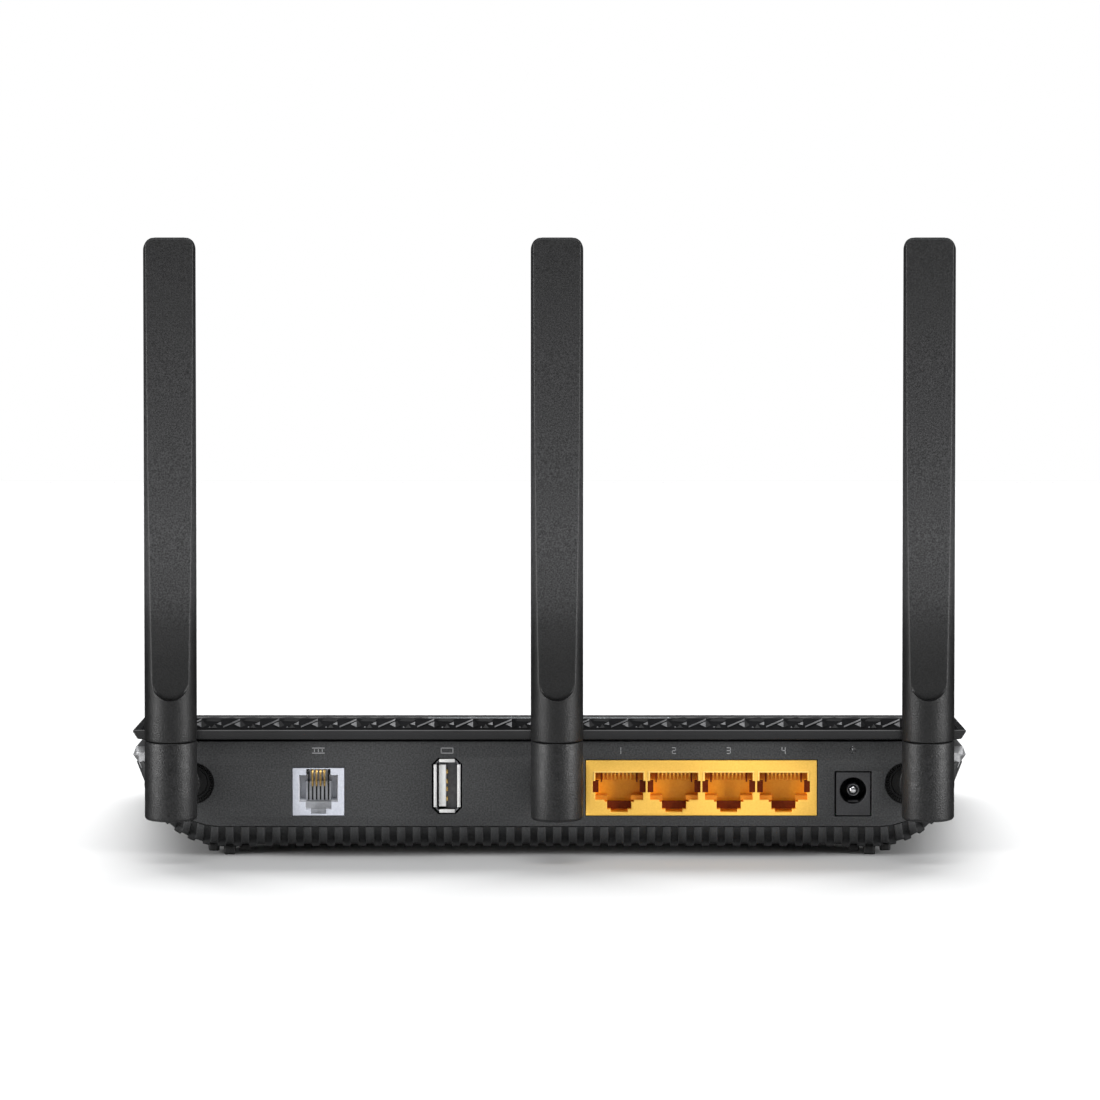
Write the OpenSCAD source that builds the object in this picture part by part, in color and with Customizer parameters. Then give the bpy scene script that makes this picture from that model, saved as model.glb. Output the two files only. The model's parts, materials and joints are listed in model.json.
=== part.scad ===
// Wireless modem router with three swivelling, tilting antennas. Units are millimetres.
// The port panel faces -Y, +X is to the right of a person who faces the ports, +Z is up.

/* [Body] */
// Half of the width across the silver trim
half_w = 106.1; // [80:0.1:140]
// Y of the outer face of the port panel
panel_y = -54.6; // [-80:0.1:-30]
// Y of the foremost edge of the top cover
nose_y = 72; // [50:0.1:100]
// Slope of the top, the groove and the trim, in degrees
slope = 6.5; // [0:0.1:12]
// Height of the top surface above the port panel
top_z = 33.2; // [26:0.1:45]
// Thickness of the top cover
cover_t = 2.4; // [1.6:0.1:4]
// Height of the bottom shell's rim at the port panel
rim_z = 23; // [16:0.1:30]
// Height of the ribbed underside above the table
floor_z = 2.9; // [1:0.1:6]
// Wall of the bottom shell
wall = 2.2; // [1.6:0.1:4]
// Radius of the rounded lower side of the hull
hull_r = 20; // [10:0.5:26]
// Radius of the front corners seen from above
corner_r = 14; // [6:0.5:25]
// Depth of the rounded edge around the port panel
edge_r = 5.15; // [2:0.05:8]
// Pitch of the ribs under the body
rib_pitch = 3.98; // [2:0.01:8]
// Depth of the grooves between the ribs
rib_depth = 0.9; // [0.3:0.1:1.5]

/* [Antennas] */
// Distance of the side antennas from the middle of the body
side_x = 96.2; // [80:0.1:110]
// Offset of the middle antenna
mid_x = 1.9; // [-10:0.1:10]
// Radius of an antenna
ant_r = 6.65; // [4:0.05:9]
// Distance of an antenna's axis behind the port panel
ant_out = 10.75; // [9:0.05:16]
// Height of the swivel axis
hinge_z = 19.3; // [14:0.1:26]
// Height of the barrel's lower end
barrel_z0 = 12.2; // [10:0.1:16]
// Height of the seam between barrel and blade
seam_z = 31.9; // [26:0.1:40]
// Height of the antenna tips
tip_z = 160.7; // [100:0.1:220]
// Radius of the hinge pin
pin_r = 1.5; // [1:0.05:2]
// Radial clearance of a running fit
run_fit = 0.05; // [0.02:0.01:0.1]

/* [Ports] */
// Height of the top face of the circuit board
board_z = 11; // [8:0.1:14]
// Thickness of the circuit board
board_t = 1.6; // [0.8:0.1:2]
// X of the telephone-line jack
dsl_x = -58.9; // [-90:0.1:-40]
// X of the USB socket
usb_x = -26.1; // [-40:0.1:-10]
// X of the middle of the network jack block
lan_x = 38.7; // [20:0.1:60]
// Pitch of the network jacks
lan_pitch = 13.97; // [13:0.01:16]
// X of the power jack
dc_x = 77.4; // [60:0.1:90]
// Height of the power jack's axis
dc_z = 17.4; // [14:0.1:20]
// Height of the middle of the USB socket
usb_z = 18.6; // [18:0.1:19]

/* [Hidden] */
drop = tan(slope);
cs = cos(slope);
sn = sin(slope);
hull_x = half_w - 22.9;
hull_z = floor_z + hull_r;
end_x = 2;
ant_y = panel_y - ant_out;
nose_l = (nose_y - panel_y - top_z * cs * sn) / cs;
base_nose = nose_y - 2.5;
lip = 2.6;
gap = 0.2;
board_y0 = panel_y + 4.2;
board_y1 = 36;
board_x = 92;
key_x = 50;
key_r = 3.8;
button_z = 13.4;
power_y = -16;
pair_y = -4;
reset_y = 5;
button_r = 2.6;
foot_x = 20.5 * rib_pitch;
feet = [for (x = [-foot_x, foot_x], y = [-43.6, 44]) [x, y]];
case_screw_at = [for (x = [-88, 88], y = [-32, 52]) [x, y]];
board_screw_at = [[-70, 28], [70, 28], [-40, -36], [84, -16]];
blade_line = [[43, 6.65], [44.5, 5.9], [47, 5.3], [53.5, 4.75], [79, 4.08], [110, 3.5], [161, 2.87]];
$fn = 48;

// ---- shape rules -------------------------------------------------------------------------

function quarter(t) = t >= 1 ? 0 : 1 - sqrt(1 - pow(1 - t, 2));
function rear_f(y) = quarter((y - panel_y) / edge_r);
function nose_x(y) = corner_r * quarter((base_nose - y) / corner_r);
function nose_up(y) = 3 * quarter((base_nose - y) / 3);
function squeeze(y, low) = (rim_z - drop * (y - panel_y) - low) / (rim_z - low);

// One side of the hull's section at y, from the bottom up to the rim, set in by inset.
function hull_side(y, inset, extra) =
    let (low = floor_z + inset,
         k = squeeze(y, low),
         rx = hull_r - inset - end_x * rear_f(y),
         rz = hull_r - inset - edge_r * rear_f(y) - nose_up(y),
         cx = hull_x - nose_x(y),
         arc = [for (a = [0 : 7.5 : 75]) [cx + rx * sin(a), low + (hull_z - rz * cos(a) - low) * k]],
         last = arc[len(arc) - 1],
         rim = rim_z - drop * (y - panel_y))
    concat(arc, [[last[0] + (hull_z - (hull_z - rz * cos(75))) / tan(75) * 0.9, rim]],
           extra > 0 ? [[last[0] + rz * cos(75) / tan(75) * 0.9, rim + extra]] : []);

function mirror_list(s) = [for (i = [len(s) - 1 : -1 : 0]) [-s[i][0], s[i][1]]];
function ring(y, inset, extra) =
    let (s = hull_side(y, inset, extra))
    [for (p = concat(mirror_list(s), s)) [p[0], y, p[1]]];

// A closed skin through rings of points, with flat ends.
module skin(rings) {
    m = len(rings[0]);
    n = len(rings);
    points = [for (r = rings) for (p = r) p];
    sides = [for (i = [0 : n - 2]) for (j = [0 : m - 1])
             each [[i * m + j, i * m + (j + 1) % m, (i + 1) * m + j],
                   [i * m + (j + 1) % m, (i + 1) * m + (j + 1) % m, (i + 1) * m + j]]];
    ends = [[for (j = [m - 1 : -1 : 0]) j], [for (j = [0 : m - 1]) (n - 1) * m + j]];
    polyhedron(points = points, faces = concat(sides, ends), convexity = 6);
}

module loft(ys, inset, extra) skin([for (y = ys) ring(y, inset, extra)]);

// Everything in the upper part follows a frame that leans forward with the slope.
module leaning() translate([0, panel_y, 0]) rotate([-slope, 0, 0]) children();

// The outline from above, set in by i, in the leaning frame.
module plan(i) {
    cx = half_w - corner_r;
    cy = nose_l - corner_r;
    translate([i - half_w, -20]) square([2 * (half_w - i), cy + 20]);
    translate([-cx, -20]) square([2 * cx, nose_l - i + 20]);
    for (x = [-cx, cx]) translate([x, cy]) circle(r = corner_r - i);
}

module slab(i, z0, z1) translate([0, 0, z0 * cs]) linear_extrude((z1 - z0) * cs) plan(i);

// A plate in the XZ plane, from y0 forward by t.
module upright(y0, t) translate([0, y0 + t, 0]) rotate([90, 0, 0]) linear_extrude(t) children();

// A profile drawn as [y, z] and extruded along X between x0 and x1.
module along_x(x0, x1) translate([x0, 0, 0]) rotate([90, 0, 90]) linear_extrude(x1 - x0) children();

module x_rod(r, x0, x1) translate([x0, 0, 0]) rotate([0, 90, 0]) cylinder(r = r, h = x1 - x0);
module y_rod(r, y0, y1) translate([0, y1, 0]) rotate([90, 0, 0]) cylinder(r = r, h = y1 - y0);
module block(x0, x1, y0, y1, z0, z1) translate([x0, y0, z0]) cube([x1 - x0, y1 - y0, z1 - z0]);

module panel_outline(i, top) {
    rx = hull_r - end_x - i;
    rz = hull_r - edge_r - i;
    side = [for (a = [0 : 7.5 : 75]) [hull_x + rx * sin(a), hull_z - rz * cos(a)]];
    edge = side[len(side) - 1][0];
    right = concat(side, [[edge, top]]);
    polygon(concat(mirror_list(right), right));
}

// ---- housing -----------------------------------------------------------------------------

module wing_section() {
    right = [[half_w, top_z], [half_w - 1.2, top_z - 2.2], [half_w - 3.4, top_z - 2.6]];
    polygon([for (p = concat(right, [for (i = [2 : -1 : 0]) [-right[i][0], right[i][1]]])) [p[0], p[1] * cs]]);
}

module top_cover() color([0.05, 0.05, 0.06]) difference() {
    union() {
        intersection() {
            leaning() slab(0, top_z - 2.6, top_z);
            leaning() translate([0, 160, 0]) rotate([90, 0, 0]) linear_extrude(180) wing_section();
            block(-120, 120, panel_y - lip, 100, 0, 60);
        }
        intersection() {
            leaning() difference() {
                slab(3.4, rim_z + 1.4, top_z - 1);
                slab(5.1, rim_z, top_z);
            }
            block(-120, 120, panel_y + 0.4, 100, 0, 60);
        }
        intersection() {
            for (p = case_screw_at) translate([p[0], p[1], 8.2]) cylinder(r = 3.6, h = 30);
            leaning() slab(3, 0, top_z - 1);
        }
    }
    for (p = case_screw_at) translate([p[0], p[1], 7]) cylinder(r = 1.5, h = 9, $fn = 24);
    leaning() translate([-32, nose_l - 15.5, 20]) cube([64, 5, 20]);
}

module comb(z0, z1) {
    for (i = [-21 : 21]) translate([i * rib_pitch - 1, z0]) square([2, z1 - z0]);
}

module shell_walls() {
    ys = concat([for (a = [0 : 18 : 90]) panel_y + edge_r * (1 - cos(a))], [-30, 0, 30],
                [for (a = [0 : 15 : 90]) base_nose - corner_r * (1 - sin(a))]);
    inner_ys = [panel_y + 3.9, -30, 0, 30, base_nose - corner_r, base_nose - 9, base_nose - 5, base_nose - 2.6];
    difference() {
        loft(ys, 0, 0);
        loft(inner_ys, wall, 3);
        upright(panel_y - 1, 5) panel_outline(0, 40);
        block(-86.3, 86.3, panel_y + 2.2, panel_y + 4, 6.3, 12);
    }
}

// The grooves between the ribs, along the underside and up the edge below the panel.
module grooves() {
    upright(panel_y + edge_r - 1, base_nose - panel_y - edge_r - 3) comb(0, floor_z + rib_depth);
    upright(panel_y - 1, 1 + rib_depth) comb(4, 9);
    translate([0, panel_y + 1.5, floor_z + 1.5]) rotate([45, 0, 0]) upright(-0.6, rib_depth) comb(-2.6, 2.6);
}

// A hole for hanging the body on a screw head, with its neck towards the port panel.
module keyhole() {
    cylinder(r = key_r, h = 8);
    translate([-1.9, -9, 0]) cube([3.8, 9, 8]);
    translate([0, -9, 0]) cylinder(r = 1.9, h = 8, $fn = 24);
}

module bottom_shell() color([0.10, 0.10, 0.11]) difference() {
    union() {
        shell_walls();
        for (p = board_screw_at) translate([p[0], p[1], floor_z + wall - 0.2])
            cylinder(r = 3, h = board_z - board_t - floor_z - wall + 0.2);
        for (p = case_screw_at) translate([p[0], p[1], floor_z + wall - 0.4])
            cylinder(r = 4.4, h = 8 - floor_z - wall + 0.4);
    }
    grooves();
    for (p = feet) translate([p[0], p[1], 0]) cylinder(r = 5.8, h = floor_z + 1);
    for (p = board_screw_at) translate([p[0], p[1], 5.7]) cylinder(r = 1.05, h = 9, $fn = 24);
    for (p = case_screw_at) translate([p[0], p[1], -1]) {
        cylinder(r = 3.1, h = 6.3);
        cylinder(r = 1.8, h = 12, $fn = 24);
    }
    for (x = [-key_x, key_x]) translate([x, 0, 0]) keyhole();
    for (i = [-5 : 5], y = [14, 32]) translate([i * rib_pitch - 1, y, 0]) cube([2, 14, 8]);
    for (y = [power_y, pair_y]) translate([0, y, button_z]) {
        x_rod(button_r + 0.1, -110, -90);
        x_rod(4, -98, -80);
    }
    translate([0, reset_y, button_z]) x_rod(0.8, -110, -90, $fn = 24);
}

module silver_trim() color([0.75, 0.76, 0.78]) intersection() {
    section = [[-3.2, 28.9], [0, 26.8], [-1.35, 24.8], [-2.1, 23.2], [-4.3, 23.2], [-4.3, 24.1], [-3.2, 24.2]];
    cx = half_w - corner_r;
    cy = nose_l - corner_r;
    block(-120, 120, panel_y, 100, 0, 60);
    leaning() union() {
        for (m = [0, 1]) mirror([m, 0, 0]) {
            translate([half_w, cy, 0]) rotate([90, 0, 0]) linear_extrude(cy + 10)
                polygon([for (p = section) [p[0], p[1] * cs]]);
            translate([cx, cy, 0]) rotate_extrude(angle = 90)
                polygon([for (p = section) [corner_r + p[0], p[1] * cs]]);
        }
        translate([-cx, nose_l, 0]) rotate([90, 0, 90]) linear_extrude(2 * cx)
            polygon([for (p = section) [p[0], p[1] * cs]]);
    }
}

// A rectangle of half sizes a and b with its corners cut off by c.
module octagon(a, b, c)
    polygon([for (s = [[1, 1], [-1, 1], [-1, -1], [1, -1]])
             each [for (k = s[0] * s[1] > 0 ? [0, 1] : [1, 0]) [s[0] * (a - k * c), s[1] * (b - (1 - k) * c)]]]);

module port_cut(x, w, z0, z1) block(x - w / 2, x + w / 2, panel_y - 1, panel_y + 6, z0, z1);

module rear_panel() color([0.09, 0.09, 0.10]) difference() {
    union() {
        upright(panel_y, 2.3) panel_outline(gap, 30.1);
        block(-86, 86, panel_y + 2.2, panel_y + 3.7, 6.6, 9.2);
        for (x = [-side_x, mid_x, side_x]) translate([x, 0, hinge_z]) y_rod(4.4, panel_y + 2, panel_y + 6);
    }
    for (x = [-side_x, mid_x, side_x]) translate([x, 0, hinge_z]) y_rod(3 + run_fit, panel_y - 1, panel_y + 7);
    for (s = [-1, 1]) translate([s * (side_x - 5.4), 0, hinge_z]) y_rod(5.3, panel_y - 1, panel_y + 1.2);
    port_cut(dsl_x, 13.7, board_z - 0.2, 23.5);
    port_cut(lan_x, 59.4, board_z - 0.2, 25.5);
    port_cut(dc_x, 9.3, board_z - 0.2, 22.6);
    translate([usb_x, 0, usb_z]) upright(panel_y - 1, 5) octagon(3.85, 7.25, 1.75);
}

module light_lens() color([0.85, 0.88, 0.9, 0.6]) leaning()
    translate([-31.8, nose_l - 15.3, (top_z - 2.4) * cs]) cube([63.6, 4.6, 2.3]);

module light_guide() color([0.9, 0.92, 0.95, 0.6]) union() {
    along_x(-30, 30) polygon([[30.8, 13.4], [60.5, 13.4], [60.5, 17], [56.8, 17], [56.8, 15.2], [30.8, 15.2]]);
    for (i = [-3.5 : 3.5]) block(i * 8 - 1.6, i * 8 + 1.6, 30.8, 33.2, 12.1, 13.6);
}

module rubber_feet() color([0.04, 0.04, 0.04]) for (p = feet) translate([p[0], p[1], 0]) difference() {
    intersection() {
        cylinder(r = 5.7, h = floor_z + 0.9);
        translate([0, 0, 8.85]) sphere(r = 9);
    }
    for (x = [-2, 2]) translate([x - 0.5, -7, -1]) cube([1, 14, 3]);
}

module case_screws() color([0.5, 0.5, 0.52]) for (p = case_screw_at) translate([p[0], p[1], 0]) difference() {
    union() {
        translate([0, 0, 3.7]) cylinder(r = 2.8, h = 1.6);
        translate([0, 0, 5.2]) cylinder(r = 1.45, h = 9.3, $fn = 24);
    }
    for (a = [0, 90]) translate([0, 0, 4]) rotate([0, 0, a]) cube([3, 0.7, 1.2], center = true);
}

module board_screws() color([0.6, 0.6, 0.62]) for (p = board_screw_at) translate([p[0], p[1], 0]) difference() {
    union() {
        translate([0, 0, board_z]) cylinder(r = 2.4, h = 1.5);
        translate([0, 0, 6]) cylinder(r = 1, h = board_z - 5.9, $fn = 24);
    }
    for (a = [0, 90]) translate([0, 0, board_z + 1.3]) rotate([0, 0, a]) cube([2.6, 0.6, 1], center = true);
}

// ---- electronics -------------------------------------------------------------------------

module main_board() color([0.05, 0.28, 0.16]) difference() {
    block(-board_x, board_x, board_y0, board_y1, board_z - board_t, board_z);
    for (p = case_screw_at) translate([p[0], p[1], 5]) cylinder(r = 4.8, h = 10);
    for (p = board_screw_at) translate([p[0], p[1], 5]) cylinder(r = 1.3, h = 10, $fn = 24);
}

module chip(x, y, w, d, h) block(x - w / 2, x + w / 2, y - d / 2, y + d / 2, board_z, board_z + h);

module processor() color([0.12, 0.12, 0.13]) chip(-10, -4, 19, 19, 1.6);
module thermal_pad() color([0.55, 0.6, 0.75]) translate([0, 0, 1.6]) chip(-10, -4, 17, 17, 0.5);

module heatsink() color([0.7, 0.7, 0.72]) translate([-10, -4, board_z + 2.1]) union() {
    translate([-14, -14, 0]) cube([28, 28, 1.8]);
    for (i = [0 : 6]) translate([-14 + i * 4.45, -14, 1.7]) cube([1.3, 28, 4.6]);
}

module radio_chips() color([0.12, 0.12, 0.13]) {
    chip(-48, 6, 9, 9, 0.9);
    chip(44, 8, 9, 9, 0.9);
}

module shield_cans() color([0.72, 0.73, 0.74]) for (p = [[-48, 6], [44, 8]]) difference() {
    chip(p[0], p[1], 25, 20, 2.8);
    translate([0, 0, -1]) chip(p[0], p[1], 24.2, 19.2, 3.4);
    for (i = [-2 : 2], j = [-1 : 1]) translate([p[0] + i * 4.4, p[1] + j * 5, board_z])
        cylinder(r = 0.8, h = 5, $fn = 16);
}

module ram_chip() color([0.11, 0.11, 0.12]) chip(17, -10, 14, 9, 1.1);
module flash_chip() color([0.11, 0.11, 0.12]) chip(17, 4, 8, 6, 1.7);
module line_chip() color([0.12, 0.12, 0.13]) chip(-58, -14, 10, 10, 1);

module lan_transformers() color([0.10, 0.10, 0.10]) for (x = [24, 52]) {
    chip(x, -24, 16, 9.5, 6);
    for (i = [-3 : 3], s = [-1, 1]) chip(x + i * 2, -24 + s * 5.1, 0.7, 0.7, 1.2);
}

module line_transformer() color([0.55, 0.45, 0.15]) union() {
    chip(-59, -28, 13, 11, 3);
    chip(-59, -28, 9, 9, 9);
    translate([0, 0, 7.5]) chip(-59, -28, 13, 11, 2.4);
}

big_caps = [for (y = [-30, -20]) [72, y, 4, 8.5]];
small_caps = [for (p = [[62, -6], [-72, -20], [-72, -12]]) [p[0], p[1], 3.15, 7]];

module capacitors() color([0.15, 0.2, 0.35]) for (c = concat(big_caps, small_caps))
    translate([c[0], c[1], board_z]) union() {
        cylinder(r = c[2], h = c[3]);
        translate([-c[2], -c[2], 0]) cube([2 * c[2], 2 * c[2], 1]);
    }

module inductors() color([0.25, 0.25, 0.26]) for (p = [[72, -4], [72, 6], [-28, -22]]) difference() {
    chip(p[0], p[1], 7, 7, 4);
    translate([p[0], p[1], board_z + 3.4]) cylinder(r = 2.4, h = 2);
}

module crystals() color([0.75, 0.75, 0.76]) for (p = [[8, 18], [-28, 20]]) union() {
    chip(p[0], p[1], 7, 4.4, 3.2);
    for (s = [-1, 1]) translate([p[0] + s * 3.5, p[1], board_z]) cylinder(r = 2.2, h = 3.2);
}

module status_leds() color([0.6, 0.9, 0.6]) for (i = [-3.5 : 3.5]) chip(i * 8, 32, 1.6, 1, 0.8);

// ---- ports -------------------------------------------------------------------------------

// A jack opening with its stepped latch channel, drawn as [x, z].
module jack_mouth(x, w, z0, z1, step_w, step_z, slot_w, slot_z)
    for (q = [[w, z0, z1], [step_w, step_z, z0 + 0.1], [slot_w, slot_z, step_z + 0.1]])
        translate([x - q[0] / 2, q[1]]) square([q[0], q[2] - q[1]]);

function lan_port(i) = lan_x + (i - 1.5) * lan_pitch;

module lan_housing() color([0.93, 0.70, 0.28]) difference() {
    block(lan_x - 29.45, lan_x + 29.45, panel_y + 0.1, panel_y + 17, board_z, 25.2);
    for (i = [0 : 3]) {
        upright(panel_y - 1, 14.5) jack_mouth(lan_port(i), 12.2, 15.2, 21.9, 6.2, 12.5, 4.4, 11.8);
        for (k = [0 : 7]) port_slot(lan_port(i) + (k - 3.5) * 1.02, 0.6, 21.5, 24.4);
    }
}

module port_slot(x, w, z0, z1) block(x - w / 2, x + w / 2, panel_y + 1.2, panel_y + 12, z0, z1);

// Spring contacts that run along the roof of a jack and slant down into it.
module contacts(x, n, pitch, roof) for (k = [0 : n - 1])
    along_x(x + (k - (n - 1) / 2) * pitch - 0.22, x + (k - (n - 1) / 2) * pitch + 0.22)
        polygon([[panel_y + 2, roof + 1.1], [panel_y + 2, roof - 0.1], [panel_y + 2.5, roof - 0.1],
                 [panel_y + 9.6, roof - 2.3], [panel_y + 9.6, roof - 1.8], [panel_y + 2.5, roof + 0.5],
                 [panel_y + 2.5, roof + 1.1]]);

module lan_contacts() color([0.85, 0.68, 0.3]) for (i = [0 : 3]) contacts(lan_port(i), 8, 1.02, 21.9);

module dsl_housing() color([0.80, 0.86, 0.90]) difference() {
    block(dsl_x - 6.6, dsl_x + 6.6, panel_y + 0.1, panel_y + 15, board_z, 23.2);
    upright(panel_y - 1, 13) jack_mouth(dsl_x, 9.97, 14.5, 21.4, 6.6, 12.8, 4, 11.3);
    for (k = [0 : 3]) port_slot(dsl_x + (k - 1.5) * 1.02, 0.6, 21, 22.6);
}

module dsl_contacts() color([0.85, 0.68, 0.3]) contacts(dsl_x, 4, 1.02, 21.4);

module usb_shell() color([0.78, 0.78, 0.8]) translate([usb_x, 0, usb_z]) difference() {
    union() {
        upright(panel_y + 0.4, 13.6) octagon(2.95, 6.65, 0.7);
        block(-3.45, 3.45, panel_y + 0.4, panel_y + 0.9, -5.5, 5.5);
        block(-2, 2, panel_y + 0.4, panel_y + 0.9, -6.95, 6.95);
        for (y = [4, 11]) block(-2.6, 2.6, panel_y + y, panel_y + y + 1.2, board_z - usb_z, -6.5);
    }
    upright(panel_y - 1, 14.6) octagon(2.55, 6.25, 0.47);
}

module usb_tongue() color([0.92, 0.92, 0.92]) translate([usb_x, 0, usb_z]) union() {
    block(-2.05, -0.25, panel_y + 1.4, panel_y + 13, -5.6, 5.6);
    block(-2.45, 2.45, panel_y + 12.6, panel_y + 13.5, -5.8, 5.8);
}

module usb_contacts() color([0.85, 0.68, 0.3]) translate([usb_x, 0, usb_z])
    for (z = [-3.5, -1, 1, 3.5]) block(-0.25, 0.1, panel_y + 2, panel_y + 12, z - 0.5, z + 0.5);

module power_jack() color([0.08, 0.08, 0.09]) translate([dc_x, 0, 0]) difference() {
    union() {
        block(-4.4, 4.4, panel_y + 0.2, panel_y + 4, board_z, 22.1);
        block(-4.4, 4.4, panel_y + 3.9, panel_y + 14, board_z, 21.4);
    }
    translate([0, 0, dc_z]) y_rod(3.2, panel_y - 1, panel_y + 10);
    translate([0, 0, dc_z]) y_rod(0.8, panel_y + 9, panel_y + 15);
}

module power_pin() color([0.8, 0.8, 0.82]) translate([dc_x, 0, dc_z]) union() {
    y_rod(1.05, panel_y + 1, panel_y + 9.9);
    y_rod(0.75, panel_y + 9.8, panel_y + 14.6);
}

// ---- buttons -----------------------------------------------------------------------------

module tact_switches() color([0.2, 0.2, 0.21]) for (y = [pair_y, reset_y]) difference() {
    block(-91.5, -87.5, y - 3, y + 3, board_z, 16);
    translate([0, y, button_z]) x_rod(1.3, -93, -89, $fn = 24);
}

module power_switch() color([0.2, 0.2, 0.21]) difference() {
    block(-91.5, -80, power_y - 3.5, power_y + 3.5, board_z, 16.4);
    translate([0, power_y, button_z]) x_rod(1.3, -93, -86, $fn = 24);
}

module plunger(y, x0, x1) translate([0, y, button_z]) x_rod(1.2, x0, x1, $fn = 24);

module cap(y, tip) translate([0, y, button_z]) union() {
    x_rod(button_r, tip, -96.6);
    x_rod(3.5, -97.6, -96.3);
}

module power_plunger() color([0.85, 0.85, 0.85]) plunger(power_y, -96.3, -88);
module power_button() color([0.12, 0.12, 0.13]) cap(power_y, -102.8);
module pair_plunger() color([0.85, 0.85, 0.85]) plunger(pair_y, -96.3, -89.6);
module pair_button() color([0.12, 0.12, 0.13]) cap(pair_y, -103.1);
module reset_plunger() color([0.85, 0.85, 0.85]) plunger(reset_y, -94.4, -89.6);

// ---- antenna leads inside the housing ------------------------------------------------------

// A smooth curve through the points p, with n steps between neighbours.
function curve_point(a, b, c, d, t) =
    0.5 * (2 * b + (c - a) * t + (2 * a - 5 * b + 4 * c - d) * t * t + (3 * b - a - 3 * c + d) * t * t * t);
function curve(p, n) = concat([for (i = [0 : len(p) - 2], k = [0 : n - 1])
    curve_point(p[max(i - 1, 0)], p[i], p[i + 1], p[min(i + 2, len(p) - 1)], k / n)], [p[len(p) - 1]]);
function unit(v) = v / norm(v);

module lead(path) color([0.15, 0.15, 0.16]) {
    c = curve(path, 4);
    last = len(c) - 1;
    skin([for (i = [0 : last])
          let (t = unit(c[min(i + 1, last)] - c[max(i - 1, 0)]),
               u = unit(cross(t, [0.6, -0.5, 0.62])),
               v = cross(u, t))
          [for (a = [0 : 45 : 315]) c[i] + 0.65 * (cos(a) * u + sin(a) * v)]]);
}

lead_in = panel_y + 2;
side_start = [for (y = [lead_in, panel_y + 6, panel_y + 10]) [side_x, y, hinge_z]];
left_route = [[91, -40, 19], [80, -36, 18], [80, -2, 18], [66, 12, 16], [63.8, 12, 12.9]];
right_route = [[91, -40, 19], [80, -36, 18], [80, 4, 17.5], [64, 14, 16], [59.8, 14, 12.9]];
middle_route = [[8, -24, 22], [8, 8, 20], [22, 14, 17], [28.2, 14, 13]];

module lead_left() lead([for (p = concat(side_start, left_route)) [-p[0], p[1], p[2]]]);
module lead_right() lead(concat(side_start, right_route));
middle_start = [for (y = [lead_in, panel_y + 8, panel_y + 14]) [mid_x, y, hinge_z]];
module lead_middle() lead(concat(middle_start, middle_route));

module lead_plugs() color([0.8, 0.7, 0.35]) for (p = [[-63.8, 12], [28.2, 14], [59.8, 14]])
    translate([p[0], p[1], board_z]) difference() {
        cylinder(r = 1.5, h = 1.4, $fn = 24);
        translate([0, 0, 1.2]) cylinder(r = 0.4, h = 1, $fn = 16);
    }

// ---- one antenna, about the crossing of its two axes ---------------------------------------

module at_hinge(x) translate([x, ant_y, hinge_z]) children();

barrel_low = barrel_z0 - hinge_z;
seam = seam_z - hinge_z;
tip = tip_z - hinge_z;

module knuckle() color([0.09, 0.09, 0.10]) difference() {
    union() {
        y_rod(3, ant_out - 0.5, ant_out + 7.4);
        y_rod(3.5, ant_out + 6.3, ant_out + 7.1);
        y_rod(6.4, ant_out - 1.1, ant_out - 0.3);
        block(-2.5, 2.5, 0, ant_out - 0.5, -4.1, 4.1);
        x_rod(4.1, -2.5, 2.5);
    }
    x_rod(pin_r + run_fit, -4, 4);
    y_rod(1.3, 3.2, ant_out + 9, $fn = 24);
    block(-0.5, 0.5, ant_out + 4, ant_out + 9, -5, 5);
}

module hinge_pin() color([0.75, 0.75, 0.77]) x_rod(pin_r, -5, 6);

module barrel() color([0.11, 0.11, 0.12]) difference() {
    h = seam - barrel_low;
    foot = [for (a = [0 : 15 : 90]) [ant_r - 0.9 + 0.9 * sin(a), 0.9 - 0.9 * cos(a)]];
    translate([0, 0, barrel_low]) rotate_extrude()
        polygon(concat([[0, 0]], foot, [[ant_r, h], [5, h], [5, h + 6], [0, h + 6]]));
    block(-2.8, 2.8, -4.5, 10, barrel_low - 1, 4.7);
    x_rod(pin_r, -5, 8);
    cylinder(r = 1.1, h = 30, $fn = 24);
    translate([0, 0, seam + 3]) cylinder(r = 2, h = 6);
}

// The blade's side view: full and round at the seam, cut flat front and back above it.
module blade_side(inset) {
    half = [for (p = concat([[seam_z - 5, ant_r]], blade_line)) [p[1] - inset, p[0] - hinge_z]];
    polygon(concat(half, mirror_list(half)));
}

module blade_front(inset, low) {
    r = 2.9 - inset;
    w = ant_r - inset;
    top = tip - inset;
    translate([-w, low]) square([2 * w, top - r - low]);
    translate([r - w, low]) square([2 * (w - r), top - low]);
    for (s = [-1, 1]) translate([s * (w - r), top - r]) circle(r = r);
}

module blade_solid(inset, low) intersection() {
    translate([0, 0, low]) cylinder(r = ant_r - inset, h = tip - low + 5);
    along_x(-10, 10) blade_side(inset);
    translate([0, 10, 0]) rotate([90, 0, 0]) linear_extrude(20) blade_front(inset, low);
}

module blade() color([0.11, 0.11, 0.12]) difference() {
    blade_solid(0, seam + 0.2);
    blade_solid(1.3, seam - 1);
}

module element() color([0.8, 0.62, 0.35]) translate([0, 0, seam + 3.1]) difference() {
    union() {
        cylinder(r = 1.95, h = 42, $fn = 24);
        translate([0, 0, 41]) cylinder(r = 0.6, h = 50, $fn = 16);
    }
    translate([0, 0, -1]) cylinder(r = 1.2, h = 41, $fn = 24);
}

// ---- nodes -------------------------------------------------------------------------------

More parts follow.
